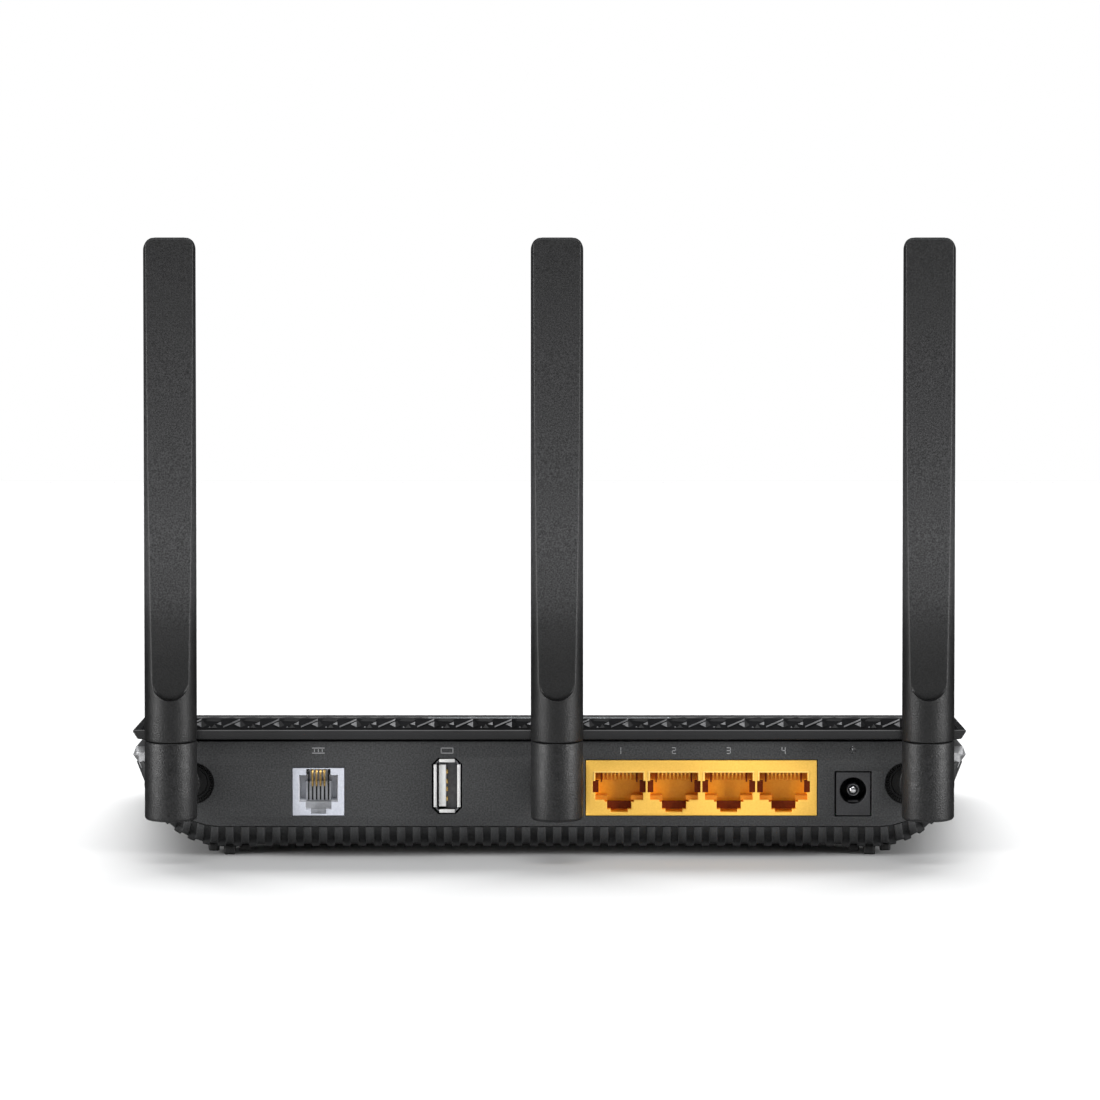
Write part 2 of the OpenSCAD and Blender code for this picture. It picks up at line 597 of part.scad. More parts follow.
top_cover();
bottom_shell();
rear_panel();
silver_trim();
light_lens();
light_guide();
rubber_feet();
case_screws();
board_screws();
main_board();
processor();
thermal_pad();
heatsink();
radio_chips();
shield_cans();
ram_chip();
flash_chip();
line_chip();
lan_transformers();
line_transformer();
capacitors();
inductors();
crystals();
status_leds();
lan_housing();
lan_contacts();
dsl_housing();
dsl_contacts();
usb_shell();
usb_tongue();
usb_contacts();
power_jack();
power_pin();
tact_switches();
power_switch();
power_plunger();
power_button();
pair_plunger();
pair_button();
reset_plunger();
lead_left();
lead_middle();
lead_right();
lead_plugs();
at_hinge(-side_x) knuckle();  // left_knuckle
at_hinge(-side_x) hinge_pin();  // left_pin
at_hinge(-side_x) barrel();  // left_barrel
at_hinge(-side_x) blade();  // left_blade
at_hinge(-side_x) element();  // left_element
at_hinge(mid_x) knuckle();  // middle_knuckle
at_hinge(mid_x) hinge_pin();  // middle_pin
at_hinge(mid_x) barrel();  // middle_barrel
at_hinge(mid_x) blade();  // middle_blade
at_hinge(mid_x) element();  // middle_element
at_hinge(side_x) knuckle();  // right_knuckle
at_hinge(side_x) hinge_pin();  // right_pin
at_hinge(side_x) barrel();  // right_barrel
at_hinge(side_x) blade();  // right_blade
at_hinge(side_x) element();  // right_element
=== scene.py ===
# Wireless router: the visible shells, ports and antennas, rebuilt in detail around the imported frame.
# Lengths below are millimetres; MM turns them into Blender's metres.
import json
from math import acos, copysign, cos, pi, radians, sin, sqrt, tan

import bmesh
import bpy
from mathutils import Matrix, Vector


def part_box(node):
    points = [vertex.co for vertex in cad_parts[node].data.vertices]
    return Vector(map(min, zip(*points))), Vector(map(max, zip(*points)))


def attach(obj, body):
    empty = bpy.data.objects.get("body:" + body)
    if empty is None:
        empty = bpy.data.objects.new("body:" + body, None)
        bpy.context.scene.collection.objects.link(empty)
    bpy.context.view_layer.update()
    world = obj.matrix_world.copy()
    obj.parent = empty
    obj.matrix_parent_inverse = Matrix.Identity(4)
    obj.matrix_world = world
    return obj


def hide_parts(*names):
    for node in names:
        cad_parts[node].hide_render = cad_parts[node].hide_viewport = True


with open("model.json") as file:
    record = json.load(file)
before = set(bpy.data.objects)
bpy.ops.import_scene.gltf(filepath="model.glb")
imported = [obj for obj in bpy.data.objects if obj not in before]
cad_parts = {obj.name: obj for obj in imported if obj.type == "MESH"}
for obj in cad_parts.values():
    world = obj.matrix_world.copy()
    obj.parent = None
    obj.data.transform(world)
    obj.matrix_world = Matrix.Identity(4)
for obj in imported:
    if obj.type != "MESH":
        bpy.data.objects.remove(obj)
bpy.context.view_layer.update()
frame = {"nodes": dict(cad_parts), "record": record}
MM = 0.001


def span(node):
    """Lowest and highest corner of a CAD node, in millimetres."""
    low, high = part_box(node)
    return low / MM, high / MM


def middle(node):
    """The middle of a CAD node's box, in millimetres."""
    return [(low + high) / 2 for low, high in zip(*span(node))]


# ---- sizes, from the frame where it has them ------------------------------------------------
COVER, SHELL, PANEL = span("top_cover"), span("bottom_shell"), span("rear_panel")
HALF_W = COVER[1].x
NOSE_Y = COVER[1].y
LIP_Y = COVER[0].y
PANEL_Y = PANEL[0].y
FLOOR_Z = SHELL[0].z
# The cover, the trim and the shell's rim fall towards the front by SLOPE.
SLOPE = radians(6.5)
SIN, COS, TAN = sin(SLOPE), cos(SLOPE), tan(SLOPE)
TOP_Z = 33.2
RIM_Z = 23.0
NOSE_L = (NOSE_Y - PANEL_Y - TOP_Z * COS * SIN) / COS
# The hull: its round sides have radius HULL_R about (HULL_X, HULL_Z) and end ARC_END up from the bottom.
HULL_R = 20.0
HULL_X = HALF_W - 22.9
HULL_Z = FLOOR_Z + HULL_R
ARC_END = radians(75)
WALL = 2.2
BASE_NOSE = NOSE_Y - 2.5
# Corners seen from above, the rounded edge behind the port panel, and how far that end is drawn in.
CORNER_R = 14.0
EDGE_R = 5.15
END_X = 2.0
# Ribs of the hull, and facets of the cover with the first whole pattern of its rear band.
RIB_PITCH = 3.98
RIB_DEPTH = 0.9
PITCH_X = 9.88
BAND_X = -87.6
ANTENNAS = ("left", "middle", "right")


# ---- mesh helpers ---------------------------------------------------------------------------
def new_object(name, mesh):
    obj = bpy.data.objects.new(name, mesh)
    bpy.context.scene.collection.objects.link(obj)
    return obj


def build(name, verts, faces, sharp=32):
    """A mesh object from points in millimetres, smooth except across edges steeper than sharp degrees."""
    mesh = bpy.data.meshes.new(name)
    mesh.from_pydata([Vector(v) * MM for v in verts], [], faces)
    mesh.update()
    obj = new_object(name, mesh)
    tidy(obj, sharp)
    return obj


def evaluated(obj):
    """The mesh of an object with its modifiers or curve bevels worked out."""
    return bpy.data.meshes.new_from_object(obj.evaluated_get(bpy.context.evaluated_depsgraph_get()))


def tidy(obj, sharp=32):
    """Welds doubled points, turns the faces outward and marks the sharp edges."""
    bm = bmesh.new()
    bm.from_mesh(obj.data)
    bmesh.ops.remove_doubles(bm, verts=bm.verts, dist=2e-7)
    bmesh.ops.recalc_face_normals(bm, faces=bm.faces)
    bm.to_mesh(obj.data)
    bm.free()
    obj.data.shade_smooth()
    obj.data.set_sharp_from_angle(angle=radians(sharp))


def loft(rings, caps=True, closed_ring=True):
    """Points and quads through rings of points, with flat ends."""
    count = len(rings[0])
    verts = [p for ring in rings for p in ring]
    faces = []
    for i in range(len(rings) - 1):
        for j in range(count if closed_ring else count - 1):
            k = (j + 1) % count
            faces.append((i * count + j, i * count + k, (i + 1) * count + k, (i + 1) * count + j))
    if caps:
        faces.append(tuple(reversed(range(count))))
        faces.append(tuple(range((len(rings) - 1) * count, len(rings) * count)))
    return verts, faces


def ring_solid(axis, centre, profile, n=48):
    """A solid of revolution with a hole through it: the profile is a closed loop."""
    verts, _ = lathe(axis, centre, profile, n)
    count = len(profile)
    faces = []
    for i in range(count):
        k = (i + 1) % count
        for j in range(n):
            m = (j + 1) % n
            faces.append((i * n + j, i * n + m, k * n + m, k * n + j))
    return verts, faces


def merged(parts):
    """One (verts, faces) from several."""
    verts, faces = [], []
    for v, f in parts:
        base = len(verts)
        verts += v
        faces += [tuple(base + i for i in face) for face in f]
    return verts, faces


def join(name, objects):
    """Joins mesh objects into the first one, keeping their materials."""
    context = {"active_object": objects[0], "selected_editable_objects": objects, "object": objects[0]}
    with bpy.context.temp_override(**context):
        bpy.ops.object.join()
    objects[0].name = name
    objects[0].data.name = name
    return objects[0]


def arc(cx, cy, r, a0, a1, n):
    """Points on an arc, angles in degrees."""
    angles = [radians(a0 + (a1 - a0) * i / n) for i in range(n + 1)]
    return [(cx + r * cos(a), cy + r * sin(a)) for a in angles]


def circle(cx, cy, r):
    """A closed circle of 72 points."""
    return arc(cx, cy, r, 0, 355, 71)


def rounded(points, r, n=4):
    """A closed outline with its corners rounded by radius r."""
    out = []
    for i, p in enumerate(points):
        p = Vector(p)
        to_a = (Vector(points[i - 1]) - p)
        to_b = (Vector(points[(i + 1) % len(points)]) - p)
        half = to_a.angle(to_b) / 2
        cut = min(r / tan(half), to_a.length * 0.49, to_b.length * 0.49)
        a, b = p + to_a.normalized() * cut, p + to_b.normalized() * cut
        for k in range(n + 1):
            t = k / n
            out.append(tuple(a * (1 - t) ** 2 + p * (2 * t * (1 - t)) + b * t * t))
    return out


def rectangle(x0, x1, z0, z1, r=0.25):
    """A rectangle with rounded corners."""
    return rounded([(x0, z0), (x1, z0), (x1, z1), (x0, z1)], r)


def plate(name, loops, y0, thick, bevel, sharp=32):
    """A plate in the XZ plane from y0 forward: loops are closed outlines, the first one the outside."""
    curve = bpy.data.curves.new(name, "CURVE")
    curve.dimensions = "2D"
    curve.fill_mode = "BOTH"
    curve.extrude = (thick / 2 - bevel) * MM
    curve.bevel_depth = bevel * MM
    curve.bevel_resolution = 2
    curve.offset = -bevel * MM
    for loop in loops:
        spline = curve.splines.new("POLY")
        spline.points.add(len(loop) - 1)
        for point, (x, z) in zip(spline.points, loop):
            point.co = (x * MM, z * MM, 0, 1)
        spline.use_cyclic_u = True
    holder = new_object(name + "_curve", curve)
    mesh = evaluated(holder)
    bpy.data.objects.remove(holder)
    for v in mesh.vertices:
        v.co = (v.co.x, (y0 + thick / 2) * MM - v.co.z, v.co.y)
    obj = new_object(name, mesh)
    tidy(obj, sharp)
    return obj


def prism(points, y0, y1):
    """A closed prism of an XZ outline between two Y values."""
    return loft([[(x, y0, z) for x, z in points], [(x, y1, z) for x, z in points]])


def box(x0, x1, y0, y1, z0, z1):
    """A closed block between its extreme coordinates."""
    return prism([(x0, z0), (x1, z0), (x1, z1), (x0, z1)], y0, y1)


def rod(axis, centre, r, a0, a1, n=32):
    """A cylinder along axis "x", "y" or "z" from a0 to a1."""
    return lathe(axis, centre, [(r, a0), (r, a1)], n)


def lathe(axis, centre, profile, n=48):
    """A solid of revolution: profile is (radius, place along the axis), centre its other two coordinates."""
    rings = []
    for r, a in profile:
        ring = []
        for i in range(n):
            t = 2 * pi * i / n
            u, v = centre[0] + r * cos(t), centre[1] + r * sin(t)
            ring.append({"x": (a, u, v), "y": (u, a, v), "z": (u, v, a)}[axis])
        rings.append(ring)
    return loft(rings)


def cut(obj, cutters, sharp=32):
    """Cuts closed, separate solids out of a closed mesh."""
    tool = build("cutter", *merged(cutters))
    modifier = obj.modifiers.new("cut", "BOOLEAN")
    modifier.operation = "DIFFERENCE"
    modifier.solver = "MANIFOLD"
    modifier.object = tool
    mesh = evaluated(obj)
    obj.modifiers.clear()
    if len(mesh.polygons) > 0:
        obj.data = mesh
    else:
        print("cut failed on", obj.name)
    bpy.data.objects.remove(tool)
    tidy(obj, sharp)
    return obj


# ---- materials ------------------------------------------------------------------------------
RAMP_TOP = 200
# Painted light and shade on the blades: greys by height, lightest about 84 mm up, darker towards the foot and
# the tip.
BLADE_PAINTED_LIGHT = [(41, 0.004), (52, 0.005), (62, 0.012), (70, 0.026), (84, 0.032), (112, 0.022), (138, 0.015),
               (160, 0.009)]


class Material:
    """A Principled material with noise-driven colour, roughness and grain."""

    def __init__(self, name):
        self.data = bpy.data.materials.new(name)
        self.data.use_nodes = True
        self.nodes = self.data.node_tree.nodes
        self.links = self.data.node_tree.links
        self.shader = self.nodes["Principled BSDF"]
        self.place = self.nodes.new("ShaderNodeTexCoord").outputs["Object"]

    def set(self, **values):
        for key, value in values.items():
            self.shader.inputs[key.replace("_", " ")].default_value = value

    def noise(self, size, detail, stretch=None):
        """A noise whose features are about size millimetres across."""
        node = self.nodes.new("ShaderNodeTexNoise")
        node.inputs["Scale"].default_value = 1 / (size * MM)
        node.inputs["Detail"].default_value = detail
        node.inputs["Roughness"].default_value = 0.55
        source = self.place
        if stretch:
            mapping = self.nodes.new("ShaderNodeMapping")
            mapping.inputs["Scale"].default_value = stretch
            self.links.new(source, mapping.inputs["Vector"])
            source = mapping.outputs["Vector"]
        self.links.new(source, node.inputs["Vector"])
        return node.outputs["Fac"]

    def ramp(self, source, stops):
        """A colour or grey that follows source through (place, colour) stops."""
        node = self.nodes.new("ShaderNodeValToRGB")
        ramp = node.color_ramp
        while len(ramp.elements) < len(stops):
            ramp.elements.new(0.5)
        for element, (place, colour) in zip(ramp.elements, stops):
            element.position = place
            element.color = (*colour, 1) if len(colour) == 3 else (colour[0],) * 3 + (1,)
        self.links.new(source, node.inputs["Fac"])
        return node.outputs["Color"]

    def colour(self, source, dark, light, low=0.35, high=0.65):
        """Base colour between dark and light as source goes from low to high."""
        self.links.new(self.ramp(source, [(low, dark), (high, light)]), self.shader.inputs["Base Color"])

    def roughness(self, source, low_value, high_value):
        grey = self.ramp(source, [(0.3, (low_value,)), (0.7, (high_value,))])
        self.links.new(grey, self.shader.inputs["Roughness"])

    def painted_height_light(self, source, stops, low, high):
        """Grain times painted light and shade that follows the height, given as (millimetres, grey) stops."""
        split = self.nodes.new("ShaderNodeSeparateXYZ")
        self.links.new(self.place, split.inputs["Vector"])
        span_z = self.nodes.new("ShaderNodeMapRange")
        span_z.inputs["From Max"].default_value = RAMP_TOP * MM
        self.links.new(split.outputs["Z"], span_z.inputs["Value"])
        painted_light = self.ramp(span_z.outputs["Result"], [(z / RAMP_TOP, (g, g, g * 1.03)) for z, g in stops])
        grain = self.ramp(source, [(0.32, (low,)), (0.68, (high,))])
        product = self.nodes.new("ShaderNodeMix")
        product.data_type = "RGBA"
        product.blend_type = "MULTIPLY"
        product.inputs["Factor"].default_value = 1.0
        self.links.new(painted_light, product.inputs["A"])
        self.links.new(grain, product.inputs["B"])
        self.links.new(product.outputs["Result"], self.shader.inputs["Base Color"])

    def bump(self, source, height):
        """Grain whose hills are height millimetres high."""
        node = self.nodes.new("ShaderNodeBump")
        node.inputs["Distance"].default_value = height * MM
        node.inputs["Strength"].default_value = 1.0
        self.links.new(source, node.inputs["Height"])
        self.links.new(node.outputs["Normal"], self.shader.inputs["Normal"])


def grained(name, dark, light, rough, grain, height, level=0.5):
    """Moulded plastic with a spark-eroded grain."""
    m = Material(name)
    fine = m.noise(grain, 3.0)
    m.colour(fine, dark, light)
    m.roughness(m.noise(grain * 6, 2.0), rough - 0.06, rough + 0.06)
    m.bump(fine, height)
    m.set(Specular_IOR_Level=level)
    return m.data


def metal(name, dark, light, rough, grain, stretch=None):
    """Bare or plated metal, brushed where stretch is given."""
    m = Material(name)
    streaks = m.noise(grain, 4.0, stretch=stretch)
    m.colour(streaks, dark, light)
    m.roughness(streaks, rough - 0.07, rough + 0.07)
    m.bump(streaks, 0.004)
    m.set(Metallic=1.0)
    return m.data


def cover_material():
    m = Material("cover_gloss_black")
    m.colour(m.noise(30, 2.0), (0.004, 0.004, 0.0045), (0.006, 0.006, 0.007))
    m.roughness(m.noise(6, 3.0), 0.14, 0.24)
    m.bump(m.noise(1.2, 2.0), 0.002)
    m.set(Specular_IOR_Level=0.35)
    return m.data


def silver_material():
    m = Material("trim_silver_paint")
    flakes = m.noise(0.5, 2.0)
    m.colour(flakes, (0.40, 0.402, 0.41), (0.47, 0.472, 0.48))
    m.roughness(m.noise(4, 3.0), 0.27, 0.35)
    m.bump(flakes, 0.001)
    m.set(Metallic=0.75)
    return m.data


def clear_material(name, tint):
    m = Material(name)
    m.colour(m.noise(8, 2.0), tuple(c * 0.94 for c in tint), tint)
    m.roughness(m.noise(3, 2.0), 0.05, 0.12)
    m.set(Transmission_Weight=0.85, IOR=1.49)
    return m.data


def blade_material():
    m = Material("blade_charcoal_painted_light")
    fine = m.noise(0.38, 3.0)
    # The base colour is painted light and shade by height, times the grain.
    m.painted_height_light(fine, BLADE_PAINTED_LIGHT, 0.3, 1.7)
    m.roughness(m.noise(1.6, 2.0), 0.39, 0.49)
    m.bump(fine, 0.10)
    m.set(Specular_IOR_Level=0.32)
    return m.data


def board_material():
    m = Material("board_solder_mask")
    tracks = m.noise(1.6, 1.0, stretch=(1.0, 0.25, 1.0))
    m.colour(tracks, (0.012, 0.085, 0.045), (0.02, 0.14, 0.07), 0.46, 0.54)
    m.roughness(m.noise(5, 2.0), 0.3, 0.42)
    m.bump(tracks, 0.02)
    return m.data


BLACKS = {
    "shell": grained("shell_charcoal", (0.021, 0.0215, 0.0222), (0.036, 0.0365, 0.0373), 0.5, 0.3, 0.012,
                     0.4),
    "panel": grained("panel_charcoal", (0.019, 0.0195, 0.0202), (0.05, 0.051, 0.0522), 0.55, 0.42, 0.022,
                     0.4),
    "antenna": grained("antenna_charcoal", (0.001, 0.001, 0.0011), (0.0135, 0.0135, 0.014), 0.44, 0.38, 0.11,
                       0.32),
    "blade": blade_material(),
    # Foot rubber; the panel's round recesses reuse it as a painted shade.
    "rubber_and_cup_shade": grained("foot_rubber_black", (0.008,) * 3, (0.016,) * 3, 0.62, 0.4, 0.01, 0.35),
    "jack": grained("jack_black", (0.026, 0.026, 0.028), (0.042, 0.042, 0.044), 0.5, 0.3, 0.01, 0.4),
    # Painted shade: near black for the gaps in the telephone jack and the power socket's bore.
    "recess_shade": grained("recess_painted_shade", (0.004, 0.004, 0.004), (0.008, 0.008, 0.008), 0.6, 0.5, 0.01, 0.3),
    "button": grained("button_black", (0.02, 0.02, 0.021), (0.03, 0.03, 0.032), 0.4, 0.3, 0.006, 0.45),
}
ORANGE = grained("lan_orange", (0.90, 0.52, 0.080), (0.97, 0.58, 0.100), 0.45, 0.5, 0.004, 0.4)
# Painted highlight: a lighter copy of the jack orange for the raised frames over the mouths.
ORANGE_PAINTED_HIGHLIGHT = grained("lan_orange_edge_highlight", (0.95, 0.66, 0.18), (1.0, 0.70, 0.21), 0.45, 0.5, 0.004, 0.4)
# Painted shade inside the network jacks: darker and deeper copies of the jack orange for the shelves, combs
# and walls, and dark brown for the latch windows.
ORANGE_PAINTED_SHADE = grained("lan_orange_painted_shade", (0.64, 0.20, 0.008), (0.70, 0.23, 0.012), 0.5, 0.5, 0.004, 0.3)
ORANGE_COMB_SHADE = grained("lan_comb_painted_shade", (1.0, 0.46, 0.05), (1.0, 0.52, 0.07), 0.5, 0.5, 0.004, 0.3)
ORANGE_INSIDE_SHADE = grained("lan_inside_painted_shade", (0.95, 0.36, 0.012), (1.0, 0.42, 0.02), 0.5, 0.5, 0.004, 0.3)
LATCH_PAINTED_SHADOW = grained("lan_latch_shadow", (0.10, 0.012, 0.001), (0.14, 0.02, 0.002), 0.6, 0.6, 0.004, 0.1)
DSL_PALE = grained("dsl_pale_plastic", (0.51, 0.53, 0.59), (0.58, 0.60, 0.66), 0.38, 0.6, 0.003, 0.4)
# Painted light: a lighter copy of the jack's pale plastic for the walls and rails inside its mouth.
DSL_INSIDE_LIT = grained("dsl_inside_painted_light", (0.56, 0.57, 0.60), (0.64, 0.65, 0.68), 0.5, 0.6, 0.003, 0.3)
# Painted shade: a darker grey copy of the jack's pale plastic for the step inside its mouth.
DSL_STEP_SHADE = grained("dsl_step_painted_shade", (0.30, 0.305, 0.32), (0.36, 0.365, 0.38), 0.5, 0.6, 0.003, 0.3)
WHITE = grained("socket_white", (0.86, 0.86, 0.85), (0.92, 0.92, 0.91), 0.4, 0.8, 0.003, 0.4)
# Dark grey: the USB well uses it as a painted shade; the power jack's sleeve is this grey.
GREY_TONGUE = grained("socket_grey", (0.10, 0.10, 0.105), (0.14, 0.14, 0.145), 0.5, 0.8, 0.003, 0.3)
SOCKET_METAL = grained("socket_satin_metal", (0.66, 0.66, 0.65), (0.76, 0.76, 0.75), 0.35, 0.5, 0.004, 0.5)
# Painted shade: a darker copy of the socket steel for the USB tube's inside and its tabs.
SOCKET_METAL_SHADE = metal("socket_metal_painted_shade", (0.16, 0.16, 0.17), (0.22, 0.22, 0.23), 0.4, 0.5)
RELIEF_BLACK = grained("cover_relief_black", (0.005, 0.005, 0.0055), (0.008, 0.008, 0.009), 0.32, 8.0, 0.001,
                       0.3)
# Painted shade and painted reflection: dim and bright copies of the cover's gloss black, for the bars and
# facets of the rear band.
FACET_PAINTED_SHADE = grained("cover_facet_painted_shade", (0.008, 0.008, 0.0085), (0.013, 0.013, 0.014), 0.42, 1.2, 0.002, 0.3)
FACET_PAINTED_REFLECTION = grained("cover_facet_painted_reflection", (0.14, 0.14, 0.145), (0.20, 0.20, 0.205), 0.36, 1.2, 0.002, 0.4)
INK = grained("mark_grey_ink", (0.27, 0.27, 0.275), (0.34, 0.34, 0.345), 0.6, 0.2, 0.002, 0.3)
GOLD = metal("contact_gold", (0.62, 0.40, 0.12), (0.78, 0.53, 0.19), 0.3, 0.4, (1.0, 0.2, 1.0))
STEEL = metal("plated_steel", (0.60, 0.60, 0.61), (0.72, 0.72, 0.73), 0.26, 0.5, (1.0, 0.15, 1.0))
TIN = metal("tinned_sheet", (0.50, 0.50, 0.51), (0.62, 0.62, 0.63), 0.36, 0.8)
ALUMINIUM = metal("heatsink_aluminium", (0.55, 0.55, 0.56), (0.66, 0.66, 0.67), 0.4, 0.6, (0.1, 1.0, 1.0))
BRASS = metal("brass_tube", (0.52, 0.34, 0.12), (0.64, 0.44, 0.18), 0.32, 0.6, (1.0, 1.0, 0.1))
SILVER = silver_material()
COVER_BLACK = cover_material()
CLEAR = clear_material("lens_clear", (0.85, 0.88, 0.90))

SLOT_MATERIALS = {
    "cover_gloss": COVER_BLACK,
    "shell_plastic": BLACKS["shell"],
    "panel_plastic": BLACKS["panel"],
    "silver_plastic": SILVER,
    "lens": CLEAR,
    "foot_rubber": BLACKS["rubber_and_cup_shade"],
    "screw_steel": STEEL,
    "board": board_material(),
    "chip_black": grained("chip_epoxy", (0.012, 0.012, 0.013), (0.022, 0.022, 0.023), 0.55, 0.2, 0.004),
    "pad": grained("silicone_pad", (0.22, 0.27, 0.40), (0.28, 0.33, 0.46), 0.7, 0.8, 0.01),
    "heatsink_metal": ALUMINIUM,
    "tinned_steel": TIN,
    "coil": grained("coil_tape", (0.42, 0.30, 0.03), (0.52, 0.38, 0.05), 0.45, 1.5, 0.01),
    "can_sleeve": grained("capacitor_sleeve", (0.012, 0.02, 0.06), (0.02, 0.03, 0.08), 0.35, 1.5, 0.003),
    "ferrite": grained("ferrite", (0.03, 0.03, 0.031), (0.055, 0.055, 0.056), 0.7, 0.3, 0.02),
    "led": clear_material("led_epoxy", (0.75, 0.85, 0.70)),
    "lan_yellow": ORANGE,
    "dsl_pale": DSL_PALE,
    "gold": GOLD,
    "white_plastic": WHITE,
    "jack_black": BLACKS["jack"],
    "pin_steel": STEEL,
    "switch_black": grained("switch_black", (0.015, 0.015, 0.016), (0.025, 0.025, 0.026), 0.5, 0.3, 0.005),
    "button_black": BLACKS["button"],
    "lead_jacket": grained("lead_jacket", (0.012, 0.012, 0.012), (0.02, 0.02, 0.02), 0.45, 0.6, 0.004),
    "antenna_plastic": BLACKS["antenna"],
    "brass": BRASS,
}


def paint(obj, material):
    obj.data.materials.clear()
    obj.data.materials.append(material)


def made(name, material, parts, sharp=32):
    """A painted mesh object from a list of (points, faces) parts."""
    obj = build(name, *merged(parts), sharp=sharp)
    paint(obj, material)
    return obj


def finish_piece(obj, body, slot, *nodes):
    """Hangs a finished piece on its body, in place of CAD nodes; slot is not used."""
    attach(obj, body)
    if nodes:
        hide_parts(*nodes)


for part in frame["record"]["subparts"]:
    node = frame["nodes"][part["node"]]
    paint(node, SLOT_MATERIALS[part["material_slot"]])


# ---- the hull -------------------------------------------------------------------------------
KEYHOLE_X = 50
KEY_R = 2.6
FOOT_R = 5.6
FEET = span("rubber_feet")
FOOT_PLACES = [(x, y) for x in (FOOT_R - FEET[1].x, FEET[1].x - FOOT_R)
               for y in (FEET[0].y + FOOT_R, FEET[1].y - FOOT_R)]


def clamped(t):
    """t kept between 0 and 1."""
    return min(max(t, 0.0), 1.0)


def quarter(t):
    """A quarter circle that falls from 1 at t = 0 to 0 at t = 1."""
    return 1 - sqrt(1 - (1 - clamped(t)) ** 2)


def rim_height(y):
    """Height of the shell's sloping rim at y."""
    return RIM_Z - TAN * (y - PANEL_Y)


def hull_point(s, y, inset, rear):
    """The hull's section at y: s runs from the middle along the flat, then up the round side."""
    low = FLOOR_Z + inset
    k = (rim_height(y) - low) / (RIM_Z - low)
    rx = HULL_R + 0.1 - inset - END_X * rear
    rz = HULL_R - inset - EDGE_R * rear - 3 * quarter((BASE_NOSE - y) / 3)
    cx = HULL_X - CORNER_R * quarter((BASE_NOSE - y) / CORNER_R)
    side = copysign(1.0, s)
    s = abs(s)
    angle = min(max(0.0, s - HULL_X) / HULL_R, ARC_END)
    x = cx * min(s / HULL_X, 1.0) + rx * sin(angle)
    z = low + (HULL_Z - rz * cos(angle) - low) * k
    if s > RIM_S - 0.01:
        fade = 1 - clamped((y - 10) / 44)
        x = cx + HALF_W - HULL_X - 2.35 + 1.55 * fade - inset - END_X * rear
        z = rim_height(y) + 1.8 * fade
    return Vector((side * x, y, z))


RIM_S = HULL_X + HULL_R * ARC_END + 5
GROOVES = range(-26, 27)
GROOVE_STEPS = [(0.0, 1.0), (0.5, 1.0), (0.84, 1.0), (0.92, 0.82), (1.0, 0.35), (1.08, 0.08), (1.2, 0.0)]


def hull_columns():
    """(place along the section, share of the groove's depth) for every column of the hull's mesh."""
    columns = {}
    for i in GROOVES:
        for offset, depth in GROOVE_STEPS:
            for sign in (-1, 1):
                columns[round(i * RIB_PITCH + sign * offset, 4)] = depth
        columns[round((i + 0.5) * RIB_PITCH, 4)] = 0.0
    end = HULL_X + HULL_R * ARC_END
    for sign in (-1, 1):
        for s in (end, RIM_S):
            columns[round(sign * s, 4)] = 0.0
    return sorted(columns.items())


def rib_depth(s, groove, turn):
    """How far a point sinks: grooves down the rear face, which swap with the ribs under the edge."""
    swap = clamped((turn - 52) / 26)
    swap = swap * swap * (3 - 2 * swap)
    rib = (1 - groove) if abs(s) < (GROOVES[-1] + 0.5) * RIB_PITCH else 0.0
    return RIB_DEPTH * groove * (1 - swap) + (0.1 * rib - 0.5 * groove) * swap


def hull_normal(grid, i, j):
    """The outward normal of the skin at one point of its grid."""
    if i == 0:
        return Vector((0, -1, 0))
    p = grid[i][j]
    along = grid[min(i + 1, len(grid) - 1)][j] - grid[i - 1][j]
    across = grid[i][min(j + 1, len(grid[i]) - 1)] - grid[i][j - 1]
    normal = across.cross(along).normalized()
    inwards = normal.dot(Vector((0, 0, 30)) - Vector((p.x * 0.8, 0, p.z))) > 0
    return -normal if inwards else normal


def hull_skin(columns, stations):
    """The outside of the hull, with the grooves sunk into it."""
    grid = [[hull_point(s, y, 0.0, rear) for s, _ in columns] for y, rear in stations]
    rings = []
    for i, (y, _) in enumerate(stations):
        ring = []
        for j, (s, depth) in enumerate(columns):
            p = grid[i][j]
            if y < BASE_NOSE - 3.5 and abs(s) < RIM_S - 8:
                p = p - hull_normal(grid, i, j) * rib_depth(s, depth, i * 6)
            ring.append(tuple(p))
        rings.append(ring)
    return rings


def hull_mesh():
    """The bottom shell's skin, grooved outside, smooth inside, with the pocket for the port panel."""
    columns = hull_columns()
    turns = [radians(a) for a in range(0, 91, 6)]
    edge = [(PANEL_Y + EDGE_R * (1 - cos(turn)), 1 - sin(turn)) for turn in turns]
    straight = [(y, 0.0) for y in (-48.0, -44.0, -30.0, 0.0, 10.0, 18.0, 26.0, 34.0, 42.0, 48.0, 54.0)]
    nose = [(BASE_NOSE - CORNER_R * (1 - sin(radians(a))), 0.0) for a in range(0, 91, 9)]
    outer = hull_skin(columns, edge + straight + nose)
    pocket = []
    for y in (PANEL_Y + 1.2, PANEL_Y + 3.9):
        ring = []
        for s, _ in columns:
            p = hull_point(s, PANEL_Y, 0.0, 1.0)
            ring.append((p.x, y, p.z))
        pocket.append(ring)
    inner = []
    nose_inside = [BASE_NOSE - back for back in (CORNER_R, 9, 5, 2.6)]
    for y in [PANEL_Y + 3.9001, -30.0, 0.0, 30.0] + nose_inside:
        rear = quarter((y - PANEL_Y) / EDGE_R)
        inner.append([tuple(hull_point(s, y, WALL, rear)) for s, _ in columns])
    rings = outer[::-1] + pocket + inner
    verts, faces = loft(rings, caps=True, closed_ring=False)
    count = len(columns)
    left = [i * count for i in range(len(rings))]
    right = [i * count + count - 1 for i in range(len(rings))]
    faces.append(tuple(left + right[::-1]))
    return verts, faces


